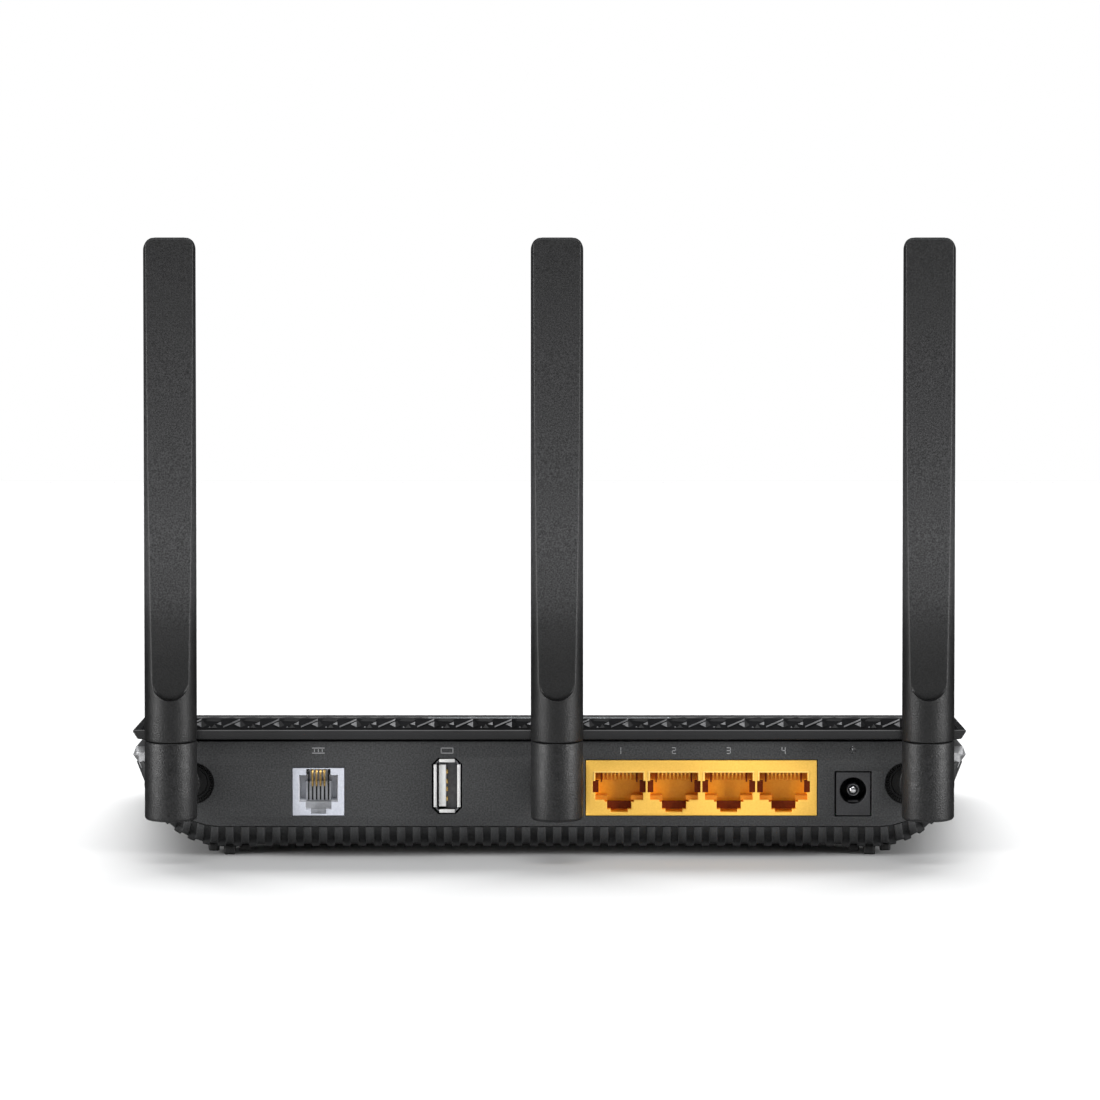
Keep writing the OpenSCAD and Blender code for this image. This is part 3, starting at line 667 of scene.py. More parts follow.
def keyhole(x):
    """The outline of a wall-mounting hole seen from below, as a prism."""
    points = arc(x, 0, 3.8, -60, 240, 24) + arc(x, -9, 1.9, 180, 360, 12)
    return loft([[(px, py, z) for px, py in points] for z in (0.0, 8.0)])


def bottom_shell():
    """The hull with its vents, keyholes, screw wells and key holes cut, and screw posts inside."""
    shell = build("shell_bottom", *hull_mesh(), sharp=40)
    cutters = [keyhole(-KEYHOLE_X), keyhole(KEYHOLE_X)]
    for i in range(-5, 6):
        for y in (14, 32):
            slot = rectangle(i * RIB_PITCH - 1, i * RIB_PITCH + 1, y, y + 14, 0.9)
            cutters.append(loft([[(px, py, z) for px, py in slot] for z in (0.0, 8.0)]))
    for place in FOOT_PLACES:
        cutters.append(rod("z", place, FOOT_R + 0.2, 0.0, FLOOR_Z + 1, 48))
    for x in (-88, 88):
        for y in (-32, 52):
            cutters.append(rod("z", (x, y), 3.1, 0.0, 9.0))
    hole_r = KEY_R + 0.12
    for node, r, n in (("power_button", hole_r, 40), ("pair_button", hole_r, 40), ("reset_plunger", 0.8, 20)):
        cutters.append(rod("x", middle(node)[1:], r, -112, -90, n))
    cut(shell, cutters, sharp=40)
    bosses = [lathe("z", (x, y), [(2.95, 4.9), (2.95, 9.3), (1.1, 9.3), (1.1, 5.2)], 24)
              for x, y in ((-70, 28), (70, 28), (-40, -36), (84, -16))]
    paint(shell, BLACKS["shell"])
    posts = made("shell_posts", BLACKS["shell"], bosses)
    shell = join("shell_bottom", [shell, posts])
    finish_piece(shell, "housing", "shell_plastic", "bottom_shell")


# ---- the port panel -------------------------------------------------------------------------
def panel_outline(inset, top):
    """The hull's section at the panel, drawn in by inset and closed by a straight top."""
    rx, rz = HULL_R - END_X - inset, HULL_R - EDGE_R - inset
    angles = [radians(75 * i / 30) for i in range(31)]
    right = [(HULL_X + rx * sin(a), HULL_Z - rz * cos(a)) for a in angles]
    edge = right[-1][0]
    right += [(edge, top - 0.6), (edge - 0.18, top - 0.18), (edge - 0.6, top)]
    return [(-x, z) for x, z in right[::-1]] + right


def octagon(x, z, a, b, c):
    """A rectangle of half width a and half height b with its corners cut off by c."""
    return [(x + a, z - b + c), (x + a, z + b - c), (x + a - c, z + b), (x - a + c, z + b),
            (x - a, z + b - c), (x - a, z - b + c), (x - a + c, z - b), (x + a - c, z - b)]


LAN, DSL = span("lan_housing"), span("dsl_housing")
DSL_X, USB_X, DC_X = (middle(node)[0] for node in ("dsl_housing", "usb_shell", "power_jack"))
USB_Z = 18.6
DC_Z = middle("power_pin")[2]
BOARD_Z = DSL[0].z
HINGE_Z = middle("left_pin")[2]
SCOOP_X = middle("right_barrel")[0] - 5.4
LAN_PITCH = 13.97
DSL_PITCH = 1.01
LAN_X = middle("lan_housing")[0]
LAN_CENTRES = [LAN_X + (i - 1.5) * LAN_PITCH for i in range(4)]


def scoop(x):
    """The shallow round recess beside a side antenna, with a knurled rim."""
    rings = []
    count = 144
    steps = [(5.45, 0.7, 0), (5.3, 0.25, 0), (5.2, 0.3, 0), (5.05, 0.75, 0.3), (4.4, 1.05, 0.3),
             (4.2, 1.25, 0), (3.7, 1.35, 0), (3.5, 1.8, 0), (2.0, 1.8, 0), (1.9, 1.5, 0), (0.3, 1.5, 0)]
    for r, depth, notch in steps:
        ring = []
        for i in range(count):
            t = 2 * pi * i / count
            lift = notch if i % 3 == 0 else 0.0
            ring.append((x + r * cos(t), PANEL_Y + depth - lift, HINGE_Z + r * sin(t)))
        rings.append(ring)
    back = [(px, PANEL_Y + 2.2, pz) for px, _, pz in rings[0]]
    return loft([back] + rings)


def rear_panel():
    """The plate behind the ports, with their openings and the two round recesses."""
    loops = [panel_outline(0.2, 30.1)]
    for x in (-SCOOP_X, SCOOP_X):
        loops.append(circle(x, HINGE_Z, 5.3))
    loops.append(rectangle(DSL_X - 6.8, DSL_X + 6.8, 10.85, 23.45, 0.3))
    loops.append(rectangle(LAN_X - 29.65, LAN_X + 29.65, 10.85, 25.4, 0.3))
    loops.append(rectangle(DC_X - 4.72, DC_X + 4.72, 10.75, 22.42, 0.3))
    loops.append(rounded(octagon(USB_X, USB_Z, 3.85, 7.25, 1.6), 0.3))
    panel = plate("port_panel", loops, PANEL_Y, 2.3, 0.12)
    paint(panel, BLACKS["panel"])
    # The recesses are painted in the feet's darker rubber black, a painted shade.
    cups = made("panel_cups_painted_shade", BLACKS["rubber_and_cup_shade"], [scoop(-SCOOP_X), scoop(SCOOP_X)], sharp=20)
    flange = made("panel_flange", BLACKS["panel"], [box(-86, 86, PANEL_Y + 2.2, PANEL_Y + 3.7, 6.6, 9.2)])
    panel = join("port_panel", [panel, cups, flange])
    finish_piece(panel, "housing", "panel_plastic", "rear_panel")


# ---- the sloping upper part -----------------------------------------------------------------
def lean(x, along, height):
    """A point on the slope: along runs forward from the panel plane, height is measured there."""
    up = height * COS
    return (x, PANEL_Y + along * COS + up * SIN, up * COS - along * SIN)


def along_at(y, height):
    """How far along the slope a point at y and height lies."""
    return (y - PANEL_Y - height * COS * SIN) / COS


def plan_path():
    """(x, along, outward normal) from the right rear end round the front to the left rear end."""
    cx, cy = HALF_W - CORNER_R, NOSE_L - CORNER_R
    path = [(HALF_W, None, (1, 0)), (HALF_W, 40, (1, 0)), (HALF_W, 80, (1, 0))]
    for i in range(17):
        a = radians(90 * i / 16)
        path.append((cx + CORNER_R * cos(a), cy + CORNER_R * sin(a), (cos(a), sin(a))))
    return path + [(-x, y, (-n[0], n[1])) for x, y, n in path[::-1]]


def u_sweep(section, rear_y):
    """A closed section of (inset, height) swept round both sides and the front."""
    rings = []
    for x, along, normal in plan_path():
        ring = []
        for inset, height in section:
            a = along_at(rear_y, height) if along is None else along - normal[1] * inset
            ring.append(lean(x - normal[0] * inset, a, height))
        rings.append(ring)
    return loft(rings)


WING = [(2.3, 32.2), (2.0, 33.02), (1.86, 33.16), (0.5, 33.2), (0.18, 33.15), (0.02, 32.98), (0.1, 32.75),
        (1.1, 31.1), (1.35, 30.92), (3.4, 30.6), (5.4, 30.6)]
LIP = [(1.6, 32.2), (1.3, 33.02), (1.15, 33.16), (0.45, 33.2), (0.14, 33.12), (0.0, 32.9), (0.0, 32.5),
       (0.0, 31.0), (0.12, 30.75), (0.4, 30.6), (5.4, 30.6)]


def cover_rim():
    """The smooth border of the cover: wings along the sides and the front, a plain lip at the rear."""
    rings = []
    for x, along, normal in plan_path():
        ring = []
        for (inset, height), (lip_inset, lip_height) in zip(WING, LIP):
            if along is None:
                a = along_at(LIP_Y + lip_inset, lip_height)
                ring.append(lean(x - normal[0] * inset, a, (height + lip_height) / 2))
            else:
                ring.append(lean(x - normal[0] * inset, along - normal[1] * inset, height))
        rings.append(ring)
    for x in (-90, -45, 0, 45, 90):
        rings.append([lean(x, along_at(LIP_Y + inset, height), height) for inset, height in LIP])
    count, size = len(rings), len(WING)
    verts = [p for ring in rings for p in ring]
    faces = []
    for i in range(count):
        k = (i + 1) % count
        for j in range(size - 1):
            faces.append((i * size + j, i * size + j + 1, k * size + j + 1, k * size + j))
    faces.append(tuple(i * size for i in range(count)))
    faces.append(tuple(i * size + size - 1 for i in reversed(range(count))))
    return verts, faces


def relief_surface(bm):
    """Rows of four-sided facets, each with its peak off centre, in (x, along, height)."""
    half_x, half_y = PITCH_X / 2, 7.4
    low, high = 32.35, 32.95
    nodes = {}

    def point(x, y, h):
        key = (round(x, 3), round(y, 3), h)
        if key not in nodes:
            nodes[key] = bm.verts.new((x, y, h))
        return nodes[key]

    for row in range(-2, 21):
        for column in range(-13, 14):
            x = column * PITCH_X + (half_x if row % 2 else 0)
            y = row * half_y
            ring = [point(x + half_x, y, low), point(x, y + half_y, low), point(x - half_x, y, low),
                    point(x, y - half_y, low)]
            peak = point(x + 1.3, y - 2.2, high)
            for k in range(4):
                bm.faces.new((ring[k], ring[(k + 1) % 4], peak))


def relief():
    """The faceted field inside the cover's border, closed below, with a hole for the lens."""
    bm = bmesh.new()
    relief_surface(bm)
    inset, rear = 2.15, along_at(LIP_Y + BAND_BACK + 8.0, 32.5)
    planes = [((HALF_W - inset, 0), (1, 0)), ((inset - HALF_W, 0), (-1, 0)), ((0, rear), (0, -1)),
              ((0, NOSE_L - inset), (0, 1))]
    cx, cy, r = HALF_W - CORNER_R, NOSE_L - CORNER_R, CORNER_R - inset
    for i in range(1, 8):
        a = radians(90 * i / 8)
        for side in (-1, 1):
            normal = (side * cos(a), sin(a))
            planes.append(((side * (cx + r * cos(a)), cy + r * sin(a)), normal))
    for point, normal in planes:
        geometry = bm.verts[:] + bm.edges[:] + bm.faces[:]
        bmesh.ops.bisect_plane(bm, geom=geometry, dist=1e-5, plane_co=(*point, 0), plane_no=(*normal, 0),
                               clear_outer=True)
    border = [e for e in bm.edges if e.is_boundary]
    skirt = bmesh.ops.extrude_edge_only(bm, edges=border)["geom"]
    for v in skirt:
        if isinstance(v, bmesh.types.BMVert):
            v.co.z = 31.2
    bottom = [e for e in skirt if isinstance(e, bmesh.types.BMEdge) and e.is_boundary]
    bmesh.ops.edgeloop_fill(bm, edges=bottom)
    for v in bm.verts:
        v.co = Vector(lean(*v.co)) * MM
    mesh = bpy.data.meshes.new("relief")
    bm.to_mesh(mesh)
    bm.free()
    obj = new_object("relief", mesh)
    tidy(obj, 3)
    lens = [(-32.4, NOSE_L - 15.9), (32.4, NOSE_L - 15.9), (32.4, NOSE_L - 10.1), (-32.4, NOSE_L - 10.1)]
    hole = loft([[lean(x, a, h) for x, a in lens] for h in (29.0, 35.0)])
    return cut(obj, [hole], sharp=3)


BAND_BACK = 1.9
BAND_LEAN = 0.25
BAND_TOP = 3.4


def band_point(x, up, out=0.0):
    """A point on the steep faceted band behind the lip: up is its height, out how far it stands forward."""
    height = TOP_Z - 0.6 + up
    return lean(x, along_at(LIP_Y + BAND_BACK + BAND_LEAN * up - out, height), height)


def band_wedge(x0, x1):
    """The band's dark wall, a little rounded at the crest, with a slope behind it."""
    rings = []
    for x, top in ((x0, 0.2), (x0 + 2.5, BAND_TOP), (x1 - 2.5, BAND_TOP), (x1, 0.2)):
        rings.append([band_point(x, -0.4), band_point(x, top), band_point(x, top * 0.94, -0.7)])
        for base in (TOP_Z - 0.1, TOP_Z - 1.0):
            rings[-1].append(lean(x, along_at(LIP_Y + BAND_BACK + 8.5, base), base))
    return loft(rings)


def ledge(x0, up0, x1, up1, thick, out):
    """A slanted bar on the band with an upper face that is painted bright, a painted reflection."""
    rings = []
    for x, up in ((x0, up0), (x1, up1)):
        upper, lower = band_point(x, up + thick, -0.2), band_point(x, up - 0.15, -0.3)
        rings.append([upper, band_point(x, up, out), lower])
    return loft(rings)


def chip(corners, outs):
    """A small facet on the band; outs says how far each corner stands forward."""
    front = [band_point(x, up, out) for (x, up), out in zip(corners, outs)]
    back = [band_point(x, up, -0.4) for x, up in corners]
    return loft([back, front])


def rear_band():
    """The band of bars and facets that faces the ports, one pattern to each pitch."""
    wall = made("band", RELIEF_BLACK, [band_wedge(-104.5, 104.5)], sharp=12)
    bright, dark = [], []
    for i in range(-1, 19):
        x = BAND_X + i * PITCH_X
        bright.append(ledge(x + 4.5, 1.15, x + 8.8, 3.0, 0.5, 0.5))
        bright.append(chip([(x + 7.3, 1.95), (x + 8.85, 1.2), (x + 8.85, 2.75)], (0.15, 0.55, 0.12)))
        bright.append(chip([(x + 2.7, 2.0), (x + 3.95, 1.75), (x + 3.95, 2.6)], (0.1, 0.4, 0.1)))
        bright.append(chip([(x + 0.8, 1.1), (x + 1.3, 1.1), (x + 1.05, 1.45)], (0.25, 0.25, 0.05)))
        dark.append(chip([(x, 2.75), (x + 3.6, 2.6), (x + 4.2, 3.3), (x + 0.5, 3.3)], (0.25, 0.25, 0.1, 0.1)))
        dark.append(chip([(x + 8.9, 1.0), (x + 10.2, 1.7), (x + 8.9, 3.1)], (0.5, 0.1, 0.3)))
        dark.append(chip([(x + 1.5, 1.0), (x + 3.0, 1.0), (x + 2.2, 2.0)], (0.4, 0.4, 0.1)))
    # The bars and bright facets are painted reflection, the dim facets painted shade.
    facets = made("band_facets", FACET_PAINTED_REFLECTION, bright, sharp=5)
    shades = made("band_shades", FACET_PAINTED_SHADE, dark, sharp=5)
    return [wall, facets, shades]


def top_cover():
    """The gloss cover: smooth border, hidden skirt, faceted field and the band that faces the ports."""
    rim = made("cover_top", COVER_BLACK, [cover_rim()], sharp=28)
    section = [(3.4, 31.0), (3.4, 24.4), (5.1, 24.4), (5.1, 31.0)]
    skirt = made("cover_skirt", COVER_BLACK, [u_sweep(section, PANEL_Y + 0.4)])
    field = relief()
    paint(field, RELIEF_BLACK)
    cover = join("cover_top", [rim, skirt, field] + rear_band())
    finish_piece(cover, "housing", "cover_gloss", "top_cover")


def silver_trim():
    """The trim round the sides and the front; its rear ends are bevelled towards a thin edge."""
    section = [(3.2, 28.9), (0.95, 28.9), (0.8, 28.8), (0.04, 26.9), (0.0, 26.75), (0.07, 26.6), (1.3, 24.85),
               (1.45, 24.6), (2.05, 23.35), (2.2, 23.2), (4.3, 23.2), (4.3, 24.1), (3.3, 24.2), (3.2, 24.35)]
    verts, faces = u_sweep(section, PANEL_Y + 1.2)
    count, ends = len(section), len(verts) - len(section)
    for i, (inset, height) in enumerate(section):
        flat = 26.75 + (height - 26.75) * 0.12
        for side in (1, -1):
            verts.append(lean(side * (HALF_W - inset), along_at(PANEL_Y, flat), flat))
    faces = [face for face in faces if len(face) == 4]
    for i in range(count):
        k = (i + 1) % count
        first = ends + count
        faces.append((i, k, first + 2 * k, first + 2 * i))
        faces.append((ends + i, ends + k, first + 2 * k + 1, first + 2 * i + 1))
    faces.append(tuple(first + 2 * i for i in range(count)))
    faces.append(tuple(first + 2 * i + 1 for i in range(count)))
    trim = made("trim_silver", SILVER, [(verts, faces)], sharp=24)
    finish_piece(trim, "housing", "silver_plastic", "silver_trim")


# ---- feet -----------------------------------------------------------------------------------
def foot_pad(x, y, half_w, half_l, low):
    """One domed pad of a foot."""
    rings = []
    for shrink, z in ((0.0, 2.6), (0.04, low + 0.7), (0.14, low + 0.3), (0.3, low + 0.08), (0.5, low)):
        wide, long = half_w - shrink * 0.6, half_l - shrink
        outline = rectangle(-wide, wide, -long, long, 0.7)
        rings.append([(x + px, y + py, z) for px, py in outline])
    return loft(rings)


def rubber_feet():
    """Each foot is three domed pads side by side on one disc."""
    disc = [(0.01, 2.2), (5.35, 2.2), (FOOT_R, 2.4), (FOOT_R, 3.8), (0.01, 3.8)]
    parts = []
    for x, y in FOOT_PLACES:
        parts.append(lathe("z", (x, y), disc))
        parts.append(foot_pad(x - RIB_PITCH, y, 1.45, 4.2, 0.85))
        parts.append(foot_pad(x, y, 1.5, 5.0, 0.0))
        parts.append(foot_pad(x + RIB_PITCH, y, 1.45, 4.2, 0.95))
    obj = made("feet_rubber", BLACKS["rubber_and_cup_shade"], parts, sharp=40)
    finish_piece(obj, "housing", "foot_rubber", "rubber_feet")


# ---- sockets --------------------------------------------------------------------------------
def mirrored(right):
    """A closed outline from its right half, bottom to top."""
    return right + [(-x, z) for x, z in right[::-1]]


def lan_mouth(x, ears=True):
    """The outline of one network jack's mouth, with its two latch windows and the stepped notch."""
    right = [(2.17, 11.85), (2.17, 12.6), (3.1, 12.6), (3.1, 14.5), (3.75, 14.5), (3.75, 15.0), (6.1, 15.0)]
    if ears:
        right += [(6.1, 16.9), (6.75, 16.9), (6.75, 19.9), (6.1, 19.9)]
    right += [(6.1, 22.0)]
    return [(x + px, pz) for px, pz in mirrored(right)]


def dsl_mouth():
    """The outline of the telephone jack's mouth: notches above and below a wide middle."""
    right = [(1.95, 11.35), (1.95, 12.6), (3.3, 12.6), (3.3, 14.5), (4.98, 14.5), (4.98, 21.4), (3.1, 21.4),
             (3.1, 22.95)]
    return [(DSL_X + px, pz) for px, pz in mirrored(right)]


def tunnel(outline, y0, y1, shrink, cx, cz):
    """The inside walls of a mouth, narrowing a little, closed at the back; faces look inward."""
    rings = []
    for t in (0.0, 0.5, 1.0):
        k = 1 - shrink * t
        rings.append([(cx + (x - cx) * k, y0 + (y1 - y0) * t, cz + (z - cz) * k) for x, z in outline])
    verts, faces = loft(rings, caps=False)
    faces.append(tuple(range(2 * len(outline), 3 * len(outline))))
    return verts, faces


def inward(name, parts, sharp=30):
    """A socket's inside as a thin closed shell."""
    verts, faces = merged(parts)
    obj = build(name, verts, faces, sharp)
    solid = obj.modifiers.new("thick", "SOLIDIFY")
    solid.thickness = 0.25 * MM
    solid.offset = 1
    mesh = evaluated(obj)
    obj.modifiers.clear()
    obj.data = mesh
    tidy(obj, sharp)
    return obj


def lan_block():
    """The block of four network jacks, with what shows inside their mouths."""
    front = PANEL_Y + 0.1
    loops = [rectangle(LAN[0].x, LAN[1].x, LAN[0].z, LAN[1].z, 0.15)]
    loops += [lan_mouth(x) for x in LAN_CENTRES]
    face = plate("lan_block", loops, front, 1.2, 0.12)
    paint(face, ORANGE)
    x0, x1, top = LAN[0].x + 0.05, LAN[1].x - 0.05, LAN[1].z - 0.05
    body = made("lan_body", ORANGE, [box(x0, x1, front + 14, front + 16.9, LAN[0].z + 0.05, top),
                                     box(x0, x1, front + 1, front + 14, LAN[1].z - 0.5, top)])
    tunnels = [tunnel(lan_mouth(x, False), front + 1.0, front + 4.3, 0.04, x, 18.5) for x in LAN_CENTRES]
    # The inside walls are painted deeper orange, a painted shade.
    walls = inward("lan_walls", tunnels)
    paint(walls, ORANGE_INSIDE_SHADE)
    latches, combs, steps, frames = [], [], [], []
    for x in LAN_CENTRES:
        for side in (-1, 1):
            latches.append(bar_between(x, side, 5.25, 6.8, front + 0.75, front + 2.2, 16.9, 19.85))
            latches.append(bar_between(x, side, 4.35, 4.68, front + 1.0, front + 3.4, 19.5, 21.9))
            steps.append(bar_between(x, side, 3.0, 6.12, front + 1.0, front + 4.2, 14.9, 16.05))
        latches.append(box(x - 3.02, x + 3.02, front + 1.9, front + 2.5, 12.45, 14.5))
        for k in range(9):
            cx = x + (k - 4) * 0.98
            combs.append(wedge_bar(cx, front + 1.4, front + 4.25, 19.6, 21.9))
        frames += lan_frame(x)
    # Latches, combs and shelves are painted darker or deeper, a painted shade.
    darker = made("lan_latches", LATCH_PAINTED_SHADOW, latches)
    comb = made("lan_combs", ORANGE_COMB_SHADE, combs)
    shelf = made("lan_shelves", ORANGE_PAINTED_SHADE, steps)
    # The frames are painted lighter orange, a painted highlight.
    trim = made("lan_frames", ORANGE_PAINTED_HIGHLIGHT, frames)
    block = join("lan_block", [face, body, walls, darker, comb, shelf, trim])
    finish_piece(block, "housing", "lan_yellow", "lan_housing")


def bar_between(x, side, near, far, y0, y1, z0, z1):
    """A block on one side of x, from near to far of it."""
    low, high = sorted((x + side * near, x + side * far))
    return box(low, high, y0, y1, z0, z1)


def wedge_bar(x, y0, y1, z0, z1):
    """One tooth of the comb, slanting up towards the front."""
    ring = [(y1, z0), (y1, z1), (y0, z1), (y0, z1 - 0.6)]
    return loft([[(x - 0.2, y, z) for y, z in ring], [(x + 0.2, y, z) for y, z in ring]])


def lan_frame(x):
    """The raised line that frames the upper part of a mouth: top and two sides."""
    y0 = PANEL_Y - 0.02
    y1 = PANEL_Y + 0.3
    return [box(x - 6.5, x + 6.5, y0, y1, 22.15, 22.4),
            box(x - 6.5, x - 6.28, y0, y1, 20.1, 22.2),
            box(x + 6.28, x + 6.5, y0, y1, 20.1, 22.2)]


def wire(points, r, n=8):
    """A round wire through points in the YZ plane at one x."""
    rings = []
    for i, p in enumerate(points):
        p = Vector(p)
        t = (Vector(points[min(i + 1, len(points) - 1)]) - Vector(points[max(i - 1, 0)])).normalized()
        u = Vector((1, 0, 0))
        v = t.cross(u)
        ring = []
        for k in range(n):
            a = 2 * pi * k / n
            ring.append(tuple(p + (u * cos(a) + v * sin(a)) * r))
        rings.append(ring)
    return loft(rings)


def lan_wires():
    """Eight springs to each jack: along the mouth's roof, round a bend and slanting back into it."""
    y0, roof, reach = PANEL_Y + 1.9, 21.9, 0.9
    parts = []
    for x in LAN_CENTRES:
        for k in range(8):
            cx = x + (k - 3.5) * 1.02
            path = [(cx, y0 + 9, roof + 0.55), (cx, y0 + 1.2, roof + 0.55), (cx, y0 + 0.25, roof + 0.35)]
            for a in range(0, 91, 18):
                down = 1 - sin(radians(90 - a))
                path.append((cx, y0 + 0.4 - 0.4 * cos(radians(a)), roof - 0.15 - 0.45 * down))
            path += [(cx, y0 + 3.5, roof - 0.8 - reach * 0.35), (cx, y0 + 7.4, roof - 0.9 - reach)]
            parts.append(wire(path, 0.17))
    obj = made("lan_wires", GOLD, parts, sharp=50)
    finish_piece(obj, "housing", "gold", "lan_contacts")


def dsl_jack():
    """The telephone jack, with the rails and the step inside its mouth."""
    front = PANEL_Y + 0.1
    outline = rectangle(DSL[0].x, DSL[1].x, DSL[0].z, DSL[1].z + 0.02, 0.12)
    mouth = dsl_mouth()
    face = plate("dsl_jack", [outline, mouth], front, 1.3, 0.1)
    paint(face, DSL_PALE)
    back = box(DSL[0].x + 0.1, DSL[1].x - 0.1, front + 12.2, front + 14.9, DSL[0].z + 0.1, DSL[1].z - 0.1)
    body = made("dsl_body", DSL_PALE, [back])
    # Walls and rails inside the mouth are painted lighter, a painted light.
    walls = inward("dsl_walls", [tunnel(mouth, front + 1.1, front + 5.6, 0.06, DSL_X, 18)])
    paint(walls, DSL_INSIDE_LIT)
    rails = [box(DSL_X - 3.2, DSL_X + 3.2, front + 3.4, front + 5.4, 14.4, 19.4)]
    # Gaps beside the notch and between the contacts are dark bars, a painted shade.
    dark = []
    for side in (-1, 1):
        dark.append(bar_between(DSL_X, side, 2.45, 3.02, front + 0.6, front + 1.6, 21.45, 22.92))
        dark.append(bar_between(DSL_X, side, 2.3, 2.7, front + 2.9, front + 3.3, 19.0, 22.0))
    for k in range(6):
        cx = DSL_X + (k - 2.5) * DSL_PITCH
        dark.append(box(cx - 0.2, cx + 0.2, front + 3.1, front + 3.7, 14.6, 18.9))
    ramp = made("dsl_rails", DSL_INSIDE_LIT, rails)
    # The step is painted dark grey, a painted shade.
    floors = [box(DSL_X - 3.25, DSL_X + 3.25, front + 2.0, front + 5.0, 12.5, 14.3),
              box(DSL_X - 1.9, DSL_X + 1.9, front + 1.5, front + 5.0, 11.4, 12.5)]
    step = made("dsl_step_painted_shade", DSL_STEP_SHADE, floors)
    gaps = made("dsl_gaps", BLACKS["recess_shade"], dark)
    jack = join("dsl_jack", [face, body, walls, ramp, step, gaps])
    finish_piece(jack, "housing", "dsl_pale", "dsl_housing")


def dsl_wires():
    """Four gold springs that come down from the notch in the roof, bend and slant inwards."""
    bend = [(1.6, 22.85), (1.0, 22.6), (0.85, 22.1), (1.1, 21.4), (2.2, 20.4), (3.0, 18.7), (3.2, 18.3)]
    parts = []
    for k in range(4):
        x = DSL_X + (k - 1.5) * DSL_PITCH
        parts.append(wire([(x, PANEL_Y + depth, z) for depth, z in bend], 0.27, 12))
    obj = made("dsl_wires", GOLD, parts, sharp=50)
    finish_piece(obj, "housing", "gold", "dsl_contacts")


def usb_socket():
    """The upright USB socket: tube with four flared lips, white tongue and its gold pads."""
    y = PANEL_Y
    tube_out = rounded(octagon(USB_X, USB_Z, 2.95, 6.65, 0.7), 0.15)
    tube_in = rounded(octagon(USB_X, USB_Z, 2.55, 6.25, 0.5), 0.15)
    tube = plate("usb_tube", [tube_out, tube_in], y + 0.9, 13.0, 0.1)
    # The tube's steel is painted darker, a painted shade.
    paint(tube, SOCKET_METAL_SHADE)
    flaps = []
    for side in (-1, 1):
        lo, hi = sorted((USB_X + side * 2.6, USB_X + side * 3.45))
        flaps.append(flap([(lo, USB_Z - 5.5), (hi, USB_Z - 5.5), (hi, USB_Z + 5.5), (lo, USB_Z + 5.5)], y))
        lo, hi = sorted((USB_Z + side * 6.05, USB_Z + side * 6.95))
        flaps.append(flap([(USB_X - 2, lo), (USB_X + 2, lo), (USB_X + 2, hi), (USB_X - 2, hi)], y))
    lips = made("usb_lips", SOCKET_METAL, flaps, sharp=35)
    legs = [box(USB_X - 2.6, USB_X + 2.6, y + a, y + a + 1.2, BOARD_Z, USB_Z - 6.5) for a in (4, 11)]
    tabs = made("usb_tabs", SOCKET_METAL_SHADE, legs)
    tube = join("usb_tube", [tube, lips, tabs])
    finish_piece(tube, "housing", "tinned_steel", "usb_shell")
    tongue = made("usb_tongue_white", WHITE, [
        flap_block(USB_X - 2.1, USB_X - 0.25, y + 1.0, y + 13, USB_Z - 5.4, USB_Z + 5.4),
        box(USB_X - 2.45, USB_X + 2.45, y + 12.6, y + 13.5, USB_Z - 5.8, USB_Z + 5.8)], sharp=35)
    finish_piece(tongue, "housing", "white_plastic", "usb_tongue")
    # The well behind the tongue is painted dark grey, a painted shade of the white plastic.
    well = [box(USB_X - 0.2, USB_X + 2.45, y + 3.0, y + 3.8, USB_Z - 6.1, USB_Z + 6.1)]
    floor = made("usb_well_painted_shade", GREY_TONGUE, well)
    finish_piece(floor, "housing", "white_plastic")
    pads = []
    for z in (-3.5, -1, 1, 3.5):
        pads.append(flap_block(USB_X - 0.3, USB_X + 0.22, y + 1.3, y + 3.2, USB_Z + z - 0.5, USB_Z + z + 0.5))
    contacts = made("usb_pads", GOLD, pads, sharp=35)
    finish_piece(contacts, "housing", "gold", "usb_contacts")


def flap(points, y):
    """A short flange bar with softened front edges."""
    rings = []
    cx = sum(p[0] for p in points) / 4
    cz = sum(p[1] for p in points) / 4
    for depth, inset in ((0.85, 0.0), (0.4, 0.0), (0.26, 0.05), (0.2, 0.16)):
        rings.append([(x - copysign(inset, x - cx), y + depth, z - copysign(inset, z - cz))
                      for x, z in points])
    return loft(rings)


def flap_block(x0, x1, y0, y1, z0, z1, r=0.15):
    """A bar along Y with a chamfered near end."""
    rings = []
    for y, inset in ((y1, 0.0), (y0 + r, 0.0), (y0 + r * 0.3, r * 0.4), (y0, r)):
        left, right, low, high = x0 + inset, x1 - inset, z0 + inset, z1 - inset
        rings.append([(left, y, low), (right, y, low), (right, y, high), (left, y, high)])
    return loft(rings)


def from_y(y, profile):
    """A profile whose places are given as depths behind y."""
    return [(r, y + depth) for r, depth in profile]


